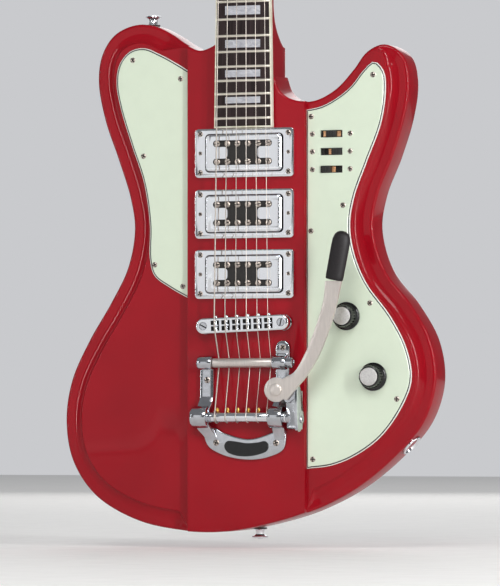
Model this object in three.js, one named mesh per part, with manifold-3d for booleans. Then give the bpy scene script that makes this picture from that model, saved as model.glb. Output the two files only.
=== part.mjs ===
// Solid-body electric guitar with a raised centre block, two carved wings, three pickups, a stop-bar
// vibrato with a swing arm, and a set neck with a three-a-side headstock.
//
// Frame (millimetres): the origin is at the nut on the centre line, level with the front face of the
// centre block, where a wall hanger holds the neck. +X is the treble side, +Z runs up the neck, and
// the front of the guitar faces -Y. Everything on the body lies below the nut, so its Z is negative.

import * as THREE from 'three';
import { mergeVertices } from 'three/addons/utils/BufferGeometryUtils.js';
import Module from 'manifold-3d';

const wasm = await Module();
wasm.setup();

// ---------------------------------------------------------------- driving dimensions
const GAP = 0.3;                     // clearance left between pieces that touch
const SCALE_LENGTH = 628.65;         // nut to the theoretical bridge line
const BODY_THICKNESS = 46;           // centre block, front face to back face
const BLOCK_HALF_WIDTH = 55;
const WING_PLATEAU = 6.5;            // how far the wings' flat top lies behind the block's face
const WING_RIM = 11;                 // how far the wings' outer rim lies behind the block's face
const RIM_WIDTH = 7.5;
const COVE_WIDTH = 10;
const BACK_ROUND = 9;                // rounding of the body's back edge
const GUARD_FRONT = 4.2;             // pickguard face behind the block's face
const GUARD_THICKNESS = 2;

const BOARD_TOP = -8.5;              // playing surface in front of the block's face
const BOARD_THICKNESS = 6;
const BOARD_LENGTH = 460.5;
const BOARD_RADIUS = 305;            // cross-wise arch of the playing surface
const BOARD_HALF_NUT = 20.8;
const BOARD_HALF_END = 27.3;

const NECK_TOP = BOARD_TOP + BOARD_THICKNESS + GAP;
const NECK_DEPTH_NUT = 13.5;         // neck wood behind the board, at the nut
const NECK_DEPTH_HEEL = 17;
const HEEL_START = -346;
const HEEL_FULL = -388;
const HEEL_BACK = 41;
const HEEL_HALF_WIDTH = 26.4;
const TENON_END = -450;

const NUT_LENGTH = 5;
const NUT_TOP = -9.9;
const HEAD_TILT = THREE.MathUtils.degToRad(-14);
const HEAD_THICKNESS = 14.5;
const HEAD_LENGTH = 178;
const TUNER_X = 25;
const TUNER_ROWS = [42, 81, 120];    // along the headstock, from the nut end
const TUNER_POST_RADIUS = 3;
const TUNER_BUTTON_X = 53;
const WORM_DEPTH = HEAD_THICKNESS + 6.5;

const PICKUP_CENTRES = { neck: -482.7, middle: -536.8, bridge: -590.3 };
const RING_WIDTH = 92.3;
const RING_HEIGHT = 43;
const RING_FRONT = -4.2;
const COVER_WIDTH = 71.4;
const COVER_HEIGHT = 31.6;
const COVER_FRONT = -8.6;
const WINDOW_WIDTH = 61;
const WINDOW_HEIGHT = 22.4;

const BRIDGE_Z = -634.9;
const BRIDGE_SLANT = 0.0415;         // radians, bass end further from the nut
const BRIDGE_FRONT = -10.8;
const BRIDGE_BACK = -5;
const POST_SPREAD = 36.6;            // half the distance between the two posts
const STRING_PITCH_NUT = 7.1;
const STRING_PITCH_BRIDGE = 10.05;
const STRING_PITCH_SHAFT = 9.75;
const STRING_RADII = [0.25, 0.25, 0.3, 0.35, 0.45, 0.6];   // first to sixth string
const STRING_HEIGHT_BRIDGE = -13.4;
const STRING_HEIGHT_BAR = -1.9;

const SHAFT = { y: -9, z: -717, radius: 4.2 };
const BAR = { y: -6.6, z: -669, radius: 3.4 };
const HOUSING_RADIUS = 9.9;
const CAP_RADIUS = 6.2;
const ARM_PIVOT = { x: 36.5, z: -693 };
const ARM_BACK = -20;
const ARM_THICKNESS = 3.2;
const ARM_RISE = 8;                  // how much further the arm's tip stands out than its head
const BRACKET_FRONT = ARM_BACK + GAP;

const KNOBS = { volume: { x: 92.9, z: -628.2 }, tone: { x: 117.9, z: -681.6 } };
const KNOB_RADIUS = 12.5;
const KNOB_FRONT = -11;
const SWITCH_X = 78.8;
const SWITCH_ROWS = [-467, -482.7, -498.4];
const SWITCH_SLOT = { width: 20.4, height: 6.2 };
const SWITCH_TRAVEL = 5;
const SWITCH_REST = [0, SWITCH_TRAVEL, -SWITCH_TRAVEL];

const JACK = { x: 146.5, y: 25, z: -742, outward: THREE.MathUtils.degToRad(-42) };
const HORN_BUTTON = { x: -98.2, y: 27, z: -364.6 };
const END_BUTTON = { x: 3.8, y: 27, z: -817.8 };

// Body outline, front view, from the bass side of the neck round the bottom to the treble side.
const BODY_OUTLINE = [
  [-26, -383], [-33, -387.5], [-44, -390.5], [-58, -384.5], [-75, -374], [-92, -366.2], [-110, -365],
  [-130, -373.5], [-142, -391], [-145.5, -415], [-139, -450], [-126, -486], [-114.5, -521], [-110.5, -549],
  [-117, -583], [-133, -614], [-154, -648], [-171, -684], [-176.5, -720], [-170, -756], [-148, -787],
  [-108, -809], [-62, -818], [-20, -818.5], [20, -811.5], [60, -799.5], [100, -779.5], [136, -751],
  [162, -721], [173, -686], [168, -650], [150, -618], [126, -588], [115, -551], [119.5, -521],
  [133, -488], [144.5, -452], [148.5, -421], [143, -399], [127, -388.8], [111, -395], [98, -411],
  [81, -428], [60, -437.5], [42, -435.5], [31, -427], [26, -414],
];

const BASS_GUARD = [
  [-55.3, -408.6], [-68.4, -400.7], [-84, -392.4], [-99, -386.6], [-113, -389.5], [-123, -401.5],
  [-125.4, -418.6], [-121.5, -440], [-111.3, -472], [-98.9, -508], [-93.4, -545], [-93.4, -575],
  [-89, -590.5], [-74, -601.5], [-55.3, -611.7],
];

const TREBLE_GUARD = [
  [55.3, -445.3], [70, -442.2], [86.3, -433.7], [98.1, -424.1], [108, -412], [118.2, -404.2],
  [127, -412.5], [129, -427], [125, -457], [111.5, -492], [99.5, -523.5], [95.6, -548], [99.5, -573],
  [110.7, -599], [133.4, -629], [148, -657], [152.6, -684], [144, -707.4], [124, -734.5],
  [100, -751.3], [78, -759.8], [55.3, -762.6],
];

const ARM_LEFT_EDGE = [[46, -681.6], [53.3, -677.8], [64.6, -660.4], [77.5, -631.9], [83.1, -614.6], [85.1, -598]];
const ARM_RIGHT_EDGE = [[100, -598], [96.4, -614.7], [92.1, -629.3], [78.8, -660.4], [65, -681.5], [56.3, -690.9],
  [46.6, -702.3]];

// ---------------------------------------------------------------- geometry helpers
const flat = (pairs) => pairs.map(([x, y]) => new THREE.Vector2(x, y));

function solid(geometry) {
  const bare = geometry.clone();
  bare.deleteAttribute('normal');
  bare.deleteAttribute('uv');
  const merged = mergeVertices(bare, 1e-4);
  const mesh = new wasm.Mesh({
    numProp: 3,
    vertProperties: new Float32Array(merged.attributes.position.array),
    triVerts: new Uint32Array(merged.index.array),
  });
  return new wasm.Manifold(mesh);
}

function geometryOf(manifold) {
  const mesh = manifold.getMesh();
  const geometry = new THREE.BufferGeometry();
  geometry.setAttribute('position', new THREE.BufferAttribute(mesh.vertProperties, 3));
  geometry.setIndex(new THREE.BufferAttribute(mesh.triVerts, 1));
  return geometry;
}

const join = (...geometries) => geometryOf(geometries.map(solid).reduce((a, b) => a.add(b)));
const cut = (base, ...tools) => geometryOf(tools.map(solid).reduce((a, b) => a.subtract(b), solid(base)));
const common = (a, b) => geometryOf(solid(a).intersect(solid(b)));

function box(x0, x1, y0, y1, z0, z1) {
  const geometry = new THREE.BoxGeometry(x1 - x0, y1 - y0, z1 - z0);
  return geometry.translate((x0 + x1) / 2, (y0 + y1) / 2, (z0 + z1) / 2);
}

// A front-view outline given in X and Z, standing from yFront back to yBack.
function slab(points, yFront, yBack, bevel = null) {
  const edge = bevel ?? { thickness: 0, size: 0, segments: 1 };
  const geometry = new THREE.ExtrudeGeometry(new THREE.Shape(points), {
    depth: yBack - yFront - 2 * edge.thickness,
    bevelEnabled: bevel !== null,
    bevelThickness: edge.thickness,
    bevelSize: edge.size,
    bevelOffset: edge.offset ?? -edge.size,
    bevelSegments: edge.segments,
  });
  return geometry.rotateX(Math.PI / 2).translate(0, yBack - edge.thickness, 0);
}

// A closed profile of [radius, height] pairs turned about an axis that starts at base.
function turned(profile, base, direction, segments = 16) {
  const geometry = new THREE.LatheGeometry(flat(profile), segments);
  const turn = new THREE.Quaternion().setFromUnitVectors(new THREE.Vector3(0, 1, 0), direction);
  return geometry.applyQuaternion(turn).translate(base.x, base.y, base.z);
}

const FORWARD = new THREE.Vector3(0, -1, 0);
const ACROSS = new THREE.Vector3(1, 0, 0);
const UP = new THREE.Vector3(0, 0, 1);
const DOWN = new THREE.Vector3(0, 0, -1);
const at = (x, y, z) => new THREE.Vector3(x, y, z);

const rod = (radius, length, base, direction, segments = 12) =>
  turned([[0, 0], [radius, 0], [radius, length], [0, length]], base, direction, segments);

const smoothOpen = (pairs, count) => {
  const curve = new THREE.CatmullRomCurve3(pairs.map(([x, z]) => at(x, 0, z)), false, 'centripetal');
  return curve.getSpacedPoints(count).map((p) => new THREE.Vector2(p.x, p.z));
};

function roundedRectangle(width, height, radius, steps = 3) {
  const points = [];
  for (const [sx, sy, start] of [[1, 1, 0], [-1, 1, 1], [-1, -1, 2], [1, -1, 3]]) {
    for (let i = 0; i <= steps; i += 1) {
      const angle = (start + i / steps) * Math.PI / 2;
      const x = sx * (width / 2 - radius) + radius * Math.cos(angle);
      points.push(new THREE.Vector2(x, sy * (height / 2 - radius) + radius * Math.sin(angle)));
    }
  }
  return points;
}

const moved = (points, dx, dy) => points.map((p) => new THREE.Vector2(p.x + dx, p.y + dy));

const circle = (x, z, radius, count = 16, start = 0, sweep = 2 * Math.PI) =>
  Array.from({ length: count }, (_, i) => {
    const angle = start + sweep * i / (sweep < 2 * Math.PI ? count - 1 : count);
    return new THREE.Vector2(x + radius * Math.cos(angle), z + radius * Math.sin(angle));
  });

function reshape(geometry, change) {
  const position = geometry.attributes.position;
  const point = new THREE.Vector3();
  for (let i = 0; i < position.count; i += 1) {
    change(point.fromBufferAttribute(position, i));
    position.setXYZ(i, point.x, point.y, point.z);
  }
  return geometry;
}

// A thin round strand through points that climb in Z, with its cross-section kept level.
function strand(points, radius) {
  const last = points.length - 1;
  const geometry = new THREE.CylinderGeometry(radius, radius, last, 6, last);
  return reshape(geometry, (p) => {
    const centre = points[Math.round(p.y + last / 2)];
    p.set(centre.x + p.x, centre.y - p.z, centre.z);
  });
}

// The outline moved inwards by a constant distance along its own normals.
function inset(points, distance) {
  return points.map((p, i) => {
    const before = points[Math.max(i - 1, 0)];
    const after = points[Math.min(i + 1, points.length - 1)];
    const along = after.clone().sub(before).normalize();
    return new THREE.Vector2(p.x - along.y * distance, p.y + along.x * distance);
  });
}

// ---------------------------------------------------------------- body
const bodyEdge = smoothOpen(BODY_OUTLINE, 132);
const boardHalfWidth = (z) =>
  BOARD_HALF_NUT + (BOARD_HALF_END - BOARD_HALF_NUT) * (-z / BOARD_LENGTH);

const halfSpace = (side) => {
  const inner = side * (BLOCK_HALF_WIDTH + GAP);
  return box(Math.min(inner, side * 300), Math.max(inner, side * 300), -50, 100, -900, -300);
};

function roundedBack(yFront) {
  const backEdge = { thickness: BACK_ROUND, size: BACK_ROUND, segments: 2 };
  return join(slab(bodyEdge, yFront, BODY_THICKNESS - BACK_ROUND - 2),
    slab(bodyEdge, BODY_THICKNESS - 2 * BACK_ROUND - 4, BODY_THICKNESS, backEdge));
}

function wing(side) {
  const turns = bodyEdge.filter((p) => side * p.x > BLOCK_HALF_WIDTH - 15);
  const top = inset(turns, RIM_WIDTH + COVE_WIDTH);
  const cove = { thickness: WING_RIM - WING_PLATEAU, size: COVE_WIDTH, offset: 0, segments: 1 };
  const plateau = common(slab(top, WING_PLATEAU, WING_RIM + 14, cove), slab(bodyEdge, 0, WING_RIM + 14));
  return common(join(roundedBack(WING_RIM), plateau), halfSpace(side));
}

function bassWing() {
  const edge = at(HORN_BUTTON.x, HORN_BUTTON.y, HORN_BUTTON.z - 25);
  return cut(wing(-1), rod(1.9, 40, edge, UP, 8));
}

function trebleWing() {
  const across = at(Math.cos(JACK.outward), 0, Math.sin(JACK.outward));
  const start = at(JACK.x - 40 * across.x, JACK.y, JACK.z - 40 * across.z);
  const hornInside = flat([[40, -436], [60, -437.5], [81, -428], [98, -411], [111, -395], [121, -392],
    [126, -404], [120, -440], [95, -480], [40, -480]]);
  const flatHorn = common(slab(hornInside, WING_PLATEAU, WING_RIM + 10),
    slab(bodyEdge, 0, BODY_THICKNESS));
  const whole = join(wing(1), common(flatHorn, halfSpace(1)));
  return cut(whole,
    box(60, 98, -20, 30, -509, -458),
    box(64, 82, -20, 24, -616, -508),
    box(74, 136, -20, 34, -700, -610),
    rod(10, 60, start, across, 16));
}

function centreBlock() {
  const strip = box(-BLOCK_HALF_WIDTH, BLOCK_HALF_WIDTH, -20, 100, -900, -300);
  const pocketHalf = HEEL_HALF_WIDTH + GAP;
  const routes = Object.values(PICKUP_CENTRES).map((z) => box(-37, 37, -20, 20, z - 17, z + 17));
  const postHoles = [-1, 1].map((side) => {
    const z = BRIDGE_Z + side * POST_SPREAD * BRIDGE_SLANT;
    return rod(3.2, 42, at(side * POST_SPREAD, 22, z), FORWARD, 12);
  });
  return cut(common(roundedBack(0), strip),
    box(-pocketHalf, pocketHalf, -20, HEEL_BACK + GAP, TENON_END - GAP, -300),
    ...routes, ...postHoles,
    rod(1.9, 40, at(END_BUTTON.x, END_BUTTON.y, END_BUTTON.z + 25), DOWN, 8));
}

function guard(pairs, side) {
  const edge = smoothOpen(pairs, 44);
  const plate = slab(edge, GUARD_FRONT, GUARD_FRONT + GUARD_THICKNESS);
  return common(plate, halfSpace(side));
}

function trebleGuard() {
  const slots = SWITCH_ROWS.map((z) => box(SWITCH_X - SWITCH_SLOT.width / 2,
    SWITCH_X + SWITCH_SLOT.width / 2, 0, 10, z - SWITCH_SLOT.height / 2, z + SWITCH_SLOT.height / 2));
  const holes = Object.values(KNOBS).map(({ x, z }) => rod(4, 10, at(x, 10, z), FORWARD, 12));
  return cut(guard(TREBLE_GUARD, 1), ...slots, ...holes);
}

// ---------------------------------------------------------------- neck and headstock
// Headstock pieces are drawn in the headstock's own frame: its face is y = 0 and z runs to its tip.
const headFrame = new THREE.Matrix4().makeRotationX(HEAD_TILT).setPosition(0, NECK_TOP, NUT_LENGTH);

function fingerboard() {
  const plan = flat([[-BOARD_HALF_NUT, -GAP], [-BOARD_HALF_END, -BOARD_LENGTH],
    [BOARD_HALF_END, -BOARD_LENGTH], [BOARD_HALF_NUT, -GAP]]);
  const sweep = 0.2;
  const arch = circle(0, -BOARD_RADIUS, BOARD_RADIUS, 9, Math.PI / 2 + sweep / 2, -sweep);
  const lens = new THREE.Shape([...arch, new THREE.Vector2(40, -30), new THREE.Vector2(-40, -30)]);
  const crown = new THREE.ExtrudeGeometry(lens, { depth: BOARD_LENGTH + 10, bevelEnabled: false });
  crown.scale(1, -1, -1).translate(0, BOARD_TOP, 5);
  return common(slab(plan, BOARD_TOP - 1, BOARD_TOP + BOARD_THICKNESS), crown);
}

function neckShaft() {
  const round = circle(0, 0, 1, 13, Math.PI, -Math.PI);
  const section = new THREE.Shape([new THREE.Vector2(-1, -0.2), ...round, new THREE.Vector2(1, -0.2)]);
  const length = NUT_LENGTH - HEEL_START + 14;
  const geometry = new THREE.ExtrudeGeometry(section, { depth: length, steps: 6, bevelEnabled: false });
  return reshape(geometry, (p) => {
    const z = NUT_LENGTH - p.z;
    const share = Math.min(Math.max(-z / -HEEL_START, 0), 1);
    const depth = NECK_DEPTH_NUT + (NECK_DEPTH_HEEL - NECK_DEPTH_NUT) * share;
    const full = Math.sign(p.x) * Math.abs(p.x) ** 0.75;
    p.set(-full * boardHalfWidth(z), NECK_TOP + p.y * depth, z);
  });
}

function heel() {
  const side = [[NECK_TOP - 2, HEEL_START + 10], [NECK_DEPTH_HEEL - 7, HEEL_START + 8]];
  for (let i = 0; i <= 6; i += 1) {
    const turn = i / 6 * Math.PI / 2;
    const y = HEEL_BACK - (HEEL_BACK - NECK_DEPTH_HEEL + 4) * Math.cos(turn);
    side.push([y, HEEL_START + (HEEL_FULL - HEEL_START) * Math.sin(turn)]);
  }
  side.push([HEEL_BACK, TENON_END], [NECK_TOP - 2, TENON_END]);
  const profile = new THREE.Shape(flat(side));
  const geometry = new THREE.ExtrudeGeometry(profile, { depth: 60, bevelEnabled: false });
  geometry.translate(0, 0, -30);
  geometry.applyMatrix4(new THREE.Matrix4().makeBasis(at(0, 1, 0), at(0, 0, 1), at(1, 0, 0)));
  const near = boardHalfWidth(HEEL_START);
  const plan = flat([[-near, HEEL_START + 12], [-HEEL_HALF_WIDTH, HEEL_FULL], [-HEEL_HALF_WIDTH, TENON_END],
    [HEEL_HALF_WIDTH, TENON_END], [HEEL_HALF_WIDTH, HEEL_FULL], [near, HEEL_START + 12]]);
  return common(geometry, slab(plan, -20, 60));
}

function headstockPlate() {
  const half = [[BOARD_HALF_NUT, -8], [BOARD_HALF_NUT, 2], [24, 14], [33.5, 30], [37, 48], [37.5, 100],
    [40, 140], [41.5, 162]];
  const left = half.map(([x, z]) => [-x, z]).reverse();
  const crest = circle(0, HEAD_LENGTH - 110, 110, 7, Math.PI / 2 - 0.37, 0.74);
  return slab([...flat(half), ...crest, ...flat(left)], 0, HEAD_THICKNESS);
}

function neck() {
  const head = headstockPlate().applyMatrix4(headFrame);
  const volute = rod(9, 34, at(-17, 7, 4), ACROSS, 10);
  const nutSeat = box(-50, 50, -60, NECK_TOP, -500, NUT_LENGTH + 0.01);
  const postHoles = [-1, 1].flatMap((side) => TUNER_ROWS.map((z) =>
    rod(4.6, 40, at(side * TUNER_X, 30, z), FORWARD, 12).applyMatrix4(headFrame)));
  const rodChannel = box(-3.1, 3.1, -30, 6.6, -430, 9);
  const adjusterPocket = box(-4, 4, -6, 6, -6, 26).applyMatrix4(headFrame);
  return cut(join(neckShaft(), heel(), head, volute), nutSeat, ...postHoles, rodChannel, adjusterPocket);
}

const trussRod = () => join(rod(2.7, 432, at(0, 3.4, -425), UP, 8), rod(2.9, 8, at(0, 3.4, 0), UP, 6));

function trussRodCover() {
  const outline = flat([[-7, 3], [7, 3], [8.5, 12], [7, 22], [4, 31], [0, 34], [-4, 31], [-7, 22], [-8.5, 12]]);
  return slab(outline, -1.9, -GAP).applyMatrix4(headFrame);
}

function nut() {
  const plan = flat([[-BOARD_HALF_NUT, 0], [BOARD_HALF_NUT, 0], [BOARD_HALF_NUT, NUT_LENGTH],
    [-BOARD_HALF_NUT, NUT_LENGTH]]);
  return slab(plan, NUT_TOP, NECK_TOP - GAP);
}

function tunerPlate(side) {
  const plate = box(-7.5, 7.5, HEAD_THICKNESS + GAP, HEAD_THICKNESS + 1.5, 28, 134);
  const pieces = TUNER_ROWS.map((z) =>
    box(-7.5, 7.5, HEAD_THICKNESS + 1, HEAD_THICKNESS + 11.5, z - 6.5, z + 6.5));
  const holes = TUNER_ROWS.flatMap((z) => [
    rod(3.4, 30, at(0, HEAD_THICKNESS + 9.5, z), FORWARD, 12),
    rod(2.6, 20, at(side * 3.5, WORM_DEPTH, z), at(side, 0, 0), 10),
  ]);
  return cut(join(plate, ...pieces), ...holes).translate(side * TUNER_X, 0, 0).applyMatrix4(headFrame);
}

function tunerPost(side, z) {
  const radius = TUNER_POST_RADIUS;
  const profile = [[0, 0], [radius, 0], [radius, 26], [2.4, 28], [2.4, 33], [radius, 35], [radius, 39],
    [2.2, 40], [0, 40]];
  const post = turned(profile, at(side * TUNER_X, HEAD_THICKNESS + 8.5, z), FORWARD, 12);
  return post.applyMatrix4(headFrame);
}

function tunerButton(side, z) {
  const outward = at(side, 0, 0);
  const stem = rod(2, 17, at(side * (TUNER_X + 3.7), WORM_DEPTH, z), outward, 10);
  const rows = [[0, 0], [5, 0.6], [7.8, 5], [8.6, 11], [6.5, 16], [0, 17.5]];
  const grip = turned(rows, at(0, 0, 0), outward, 14);
  grip.scale(1, 0.5, 1).translate(side * (TUNER_BUTTON_X - 9), WORM_DEPTH, z);
  return join(stem, grip).applyMatrix4(headFrame);
}

// ---------------------------------------------------------------- pickups
function pickupRing(z) {
  const outer = moved(roundedRectangle(RING_WIDTH, RING_HEIGHT, 5), 0, z);
  const opening = moved(roundedRectangle(COVER_WIDTH + 2 * GAP, COVER_HEIGHT + 2 * GAP, 4), 0, z);
  return cut(slab(outer, RING_FRONT, -GAP), slab(opening, -10, 5));
}

function pickupCover(z) {
  const wall = 1;
  const outer = moved(roundedRectangle(COVER_WIDTH, COVER_HEIGHT, 3.8), 0, z);
  const inner = moved(roundedRectangle(COVER_WIDTH - 2 * wall, COVER_HEIGHT - 2 * wall, 3), 0, z);
  const window = moved(roundedRectangle(WINDOW_WIDTH, WINDOW_HEIGHT, 2.5), 0, z);
  const softEdge = { thickness: 1.2, size: 1.2, segments: 2 };
  return cut(slab(outer, COVER_FRONT, 6, softEdge), slab(inner, COVER_FRONT + wall, 20), slab(window, -20, 0));
}

function pickupCoils(z) {
  const width = COVER_WIDTH - 2 - 2 * GAP;
  const height = COVER_HEIGHT - 2 - 2 * GAP;
  const block = slab(moved(roundedRectangle(width, height, 2.8, 2), 0, z), COVER_FRONT + 1 + GAP, 12);
  const foot = box(-36, 36, 8, 11, z - 5, z + 5);
  return join(block, foot);
}

// ---------------------------------------------------------------- bridge
const bridgeTurn = new THREE.Matrix4().makeRotationY(-BRIDGE_SLANT).setPosition(0, 0, BRIDGE_Z);

function bridgeBody() {
  const plate = slab(roundedRectangle(87, 13.6, 6.7, 5), BRIDGE_FRONT, BRIDGE_BACK,
    { thickness: 0.8, size: 0.8, segments: 1 });
  const tray = box(-31.5, 31.5, -20, BRIDGE_BACK - 1.2, -4.6, 4.6);
  const holes = [-1, 1].map((side) => rod(2.9, 30, at(side * POST_SPREAD, 10, 0), FORWARD, 12));
  return cut(plate, tray, ...holes).applyMatrix4(bridgeTurn);
}

function bridgePost(side) {
  const wheelFront = BRIDGE_BACK + GAP;
  const profile = [[0, 0], [2.6, 0], [2.6, 19], [7.3, 19.4], [7.3, 21.8], [2.6, 22.2], [2.6, 29], [0, 29]];
  const base = at(side * POST_SPREAD, wheelFront + 22.2, 0);
  return turned(profile, base, FORWARD, 16).applyMatrix4(bridgeTurn);
}

// ---------------------------------------------------------------- vibrato
function vibratoBase() {
  const back = -GAP;
  const crescent = slab([
    ...circle(1, -680, 74, 13, -1.06, -1.03).map((p) => p.clone()),
    ...circle(1, -690, 45.5, 9, -2.13, 1.12),
  ], -3.4, back);
  const sides = [-1, 1].map((side) => {
    const x = side * 34.5;
    return box(x - 6.5, x + 6.5, -3.6, back, -737, -654);
  });
  const tab = rod(6.5, 3.3, at(35.5, back, -655.5), FORWARD, 16);
  const housings = [
    rod(HOUSING_RADIUS, 15.5, at(-47.2, SHAFT.y - 1, SHAFT.z), ACROSS, 20),
    rod(HOUSING_RADIUS, 13.2, at(26.2, SHAFT.y - 1, SHAFT.z), ACROSS, 20),
  ];
  const feet = [box(-46, -33, -8, back, -725, -709), box(27, 39, -8, back, -725, -709)];
  const caps = [
    rod(CAP_RADIUS, 14, at(-42, BAR.y, BAR.z), ACROSS, 16),
    rod(CAP_RADIUS, 13.5, at(28, BAR.y, BAR.z), ACROSS, 16),
    rod(4.6, 6, at(41.4, BAR.y, BAR.z), ACROSS, 12),
  ];
  const bores = [
    rod(SHAFT.radius + 0.4, 14, at(-44.5, SHAFT.y, SHAFT.z), ACROSS, 16),
    rod(SHAFT.radius + 0.4, 30, at(20, SHAFT.y, SHAFT.z), ACROSS, 16),
    rod(BAR.radius + 0.4, 12, at(-38, BAR.y, BAR.z), ACROSS, 12),
    rod(BAR.radius + 0.4, 12, at(26, BAR.y, BAR.z), ACROSS, 12),
  ];
  return cut(join(crescent, ...sides, tab, ...housings, ...feet, ...caps), ...bores);
}

const tensionBar = () => rod(BAR.radius, 74, at(-37, BAR.y, BAR.z), ACROSS, 12);

function vibratoShaft() {
  const shaft = rod(SHAFT.radius, 88, at(-43.5, SHAFT.y, SHAFT.z), ACROSS, 16);
  const pins = [5, 3, 1, -1, -3, -5].map((half) =>
    rod(0.9, 8, at(half * STRING_PITCH_SHAFT / 2 + 0.6, SHAFT.y + 1, SHAFT.z), UP, 6));
  return join(shaft, ...pins);
}

function armBracket() {
  const hub = rod(9, 14, at(42.5, SHAFT.y, SHAFT.z), ACROSS, 20);
  const plan = flat([[25.5, -693], [28, -684.5], [36.5, -681.5], [49, -684], [57.5, -706], [57.5, -727],
    [42.5, -727], [42.5, -704], [28, -701]]);
  const front = slab(plan, BRACKET_FRONT, BRACKET_FRONT + 3);
  const cheekShape = new THREE.Shape(flat([[BRACKET_FRONT, -686], [BRACKET_FRONT, -727], [-3, -727],
    [-2.5, -712], [-12, -690]]));
  const cheek = new THREE.ExtrudeGeometry(cheekShape, { depth: 2.5, bevelEnabled: false });
  cheek.applyMatrix4(new THREE.Matrix4().makeBasis(at(0, 1, 0), at(0, 0, 1), at(1, 0, 0)));
  cheek.translate(55, 0, 0);
  const boltHole = rod(3.4, 20, at(ARM_PIVOT.x, -8, ARM_PIVOT.z), FORWARD, 12);
  const bore = rod(SHAFT.radius + GAP, 30, at(30, SHAFT.y, SHAFT.z), ACROSS, 16);
  return cut(join(hub, front, cheek, box(44, 57.5, -18, -6, -726, -712)), boltHole, bore);
}

function vibratoSpring() {
  const outer = rod(6.6, 7.4, at(ARM_PIVOT.x, -3.9, ARM_PIVOT.z), FORWARD, 16);
  return cut(outer, rod(4.4, 30, at(ARM_PIVOT.x, 6, ARM_PIVOT.z), FORWARD, 16));
}

const armRise = (x, z) => {
  const reach = Math.hypot(x - ARM_PIVOT.x, z - ARM_PIVOT.z);
  return ARM_RISE * THREE.MathUtils.smoothstep(reach, 14, 110);
};

function vibratoArm() {
  const stations = 15;
  const left = smoothOpen([[37.2, -682.2], ...ARM_LEFT_EDGE], stations);
  const right = smoothOpen([...ARM_RIGHT_EDGE, [37.6, -703.7]], stations).reverse();
  const bar = reshape(new THREE.BoxGeometry(2, ARM_THICKNESS, stations, 1, 1, stations), (p) => {
    const place = Math.round(p.z + stations / 2);
    const edge = p.x < 0 ? left[place] : right[place];
    p.set(edge.x, ARM_BACK - ARM_THICKNESS / 2 + p.y - armRise(edge.x, edge.y), edge.y);
  });
  const head = rod(10.8, ARM_THICKNESS, at(ARM_PIVOT.x, ARM_BACK, ARM_PIVOT.z), FORWARD, 20);
  return cut(join(head, bar), rod(3.4, 40, at(ARM_PIVOT.x, 0, ARM_PIVOT.z), FORWARD, 12));
}

function armBolt() {
  const profile = [[0, 0], [3, 0], [3, 11], [5.2, 11], [5, 13], [0, 13.6]];
  return turned(profile, at(ARM_PIVOT.x, ARM_BACK - ARM_THICKNESS - GAP + 11, ARM_PIVOT.z), FORWARD, 16);
}

function armGrip() {
  const from = at(92.9, 0, -596);
  const to = at(101.3, 0, -554.6);
  const length = from.distanceTo(to);
  const profile = [[0, 0], [7.6, 0], [8.2, 2], [8.2, length - 8], [6, length - 2.4], [0, length]];
  const direction = to.clone().sub(from).normalize();
  const grip = turned(profile, at(0, 0, 0), direction, 14);
  grip.scale(1, 0.72, 1);
  return grip.translate(from.x, ARM_BACK - ARM_THICKNESS / 2 - ARM_RISE, from.z);
}

// ---------------------------------------------------------------- strings
function guitarString(number) {
  const radius = STRING_RADII[number - 1];
  const place = 3.5 - number;
  const side = number <= 3 ? 1 : -1;
  const row = number <= 3 ? number - 1 : 6 - number;
  const post = at(side * (TUNER_X - TUNER_POST_RADIUS - radius - GAP), -16, TUNER_ROWS[row]);
  const nutX = place * STRING_PITCH_NUT;
  const lift = radius + GAP;
  return strand([
    at(place * STRING_PITCH_SHAFT, SHAFT.y - SHAFT.radius - lift, SHAFT.z),
    at(place * STRING_PITCH_SHAFT, STRING_HEIGHT_BAR, BAR.z),
    at(place * STRING_PITCH_BRIDGE, STRING_HEIGHT_BRIDGE, BRIDGE_Z - 4),
    at(place * STRING_PITCH_BRIDGE, STRING_HEIGHT_BRIDGE, BRIDGE_Z + 4),
    at(nutX, NUT_TOP - lift, 0),
    at(nutX, NUT_TOP - lift, NUT_LENGTH),
    post.applyMatrix4(headFrame),
  ], radius);
}

// ---------------------------------------------------------------- controls and fittings
function knob({ x, z }) {
  const back = GUARD_FRONT - GAP;
  const height = back - KNOB_FRONT;
  const profile = [[3.4, 0], [KNOB_RADIUS, 0], [KNOB_RADIUS, 2.2], [10.4, 4.2], [9.2, height - 0.8],
    [8.4, height], [0, height], [0, height - 3], [3.4, height - 3], [3.4, 0]];
  return turned(profile, at(x, back, z), FORWARD, 20);
}

function pot({ x, z }) {
  const profile = [[0, 0], [8.2, 0], [8.2, 9], [3.6, 9], [3.6, 11.4], [3, 11.4], [3, 22], [0, 22]];
  return turned(profile, at(x, 15.7, z), FORWARD, 16);
}

function switchSlider(index) {
  const centre = SWITCH_X + SWITCH_REST[index];
  const z = SWITCH_ROWS[index];
  return join(box(centre - 4.6, centre + 4.6, 2.8, 9, z - 2.7, z + 2.7),
    box(centre - 4.6, centre + 4.6, 8, 12, z - 4.5, z + 4.5));
}

function outputJack() {
  const across = at(Math.cos(JACK.outward), 0, Math.sin(JACK.outward));
  const profile = [[3.4, 0], [6, 0], [6, 18], [9.4, 21], [9.4, 25], [11.5, 25], [11.5, 26.3], [9, 26.3],
    [5.2, 21.5], [3.4, 21.5], [3.4, 0]];
  const base = at(JACK.x - 25.5 * across.x, JACK.y, JACK.z - 25.5 * across.z);
  return turned(profile, base, across, 20);
}

function strapButton({ x, y, z }, direction) {
  const profile = [[0, -20], [1.5, -20], [1.5, 0], [5.2, 0], [3.8, 3.5], [3.8, 6.5], [7.4, 8.6], [7.4, 9.8],
    [5.5, 11], [0, 11]];
  return turned(profile, at(x, y, z + GAP * direction.z), direction, 16);
}

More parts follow.
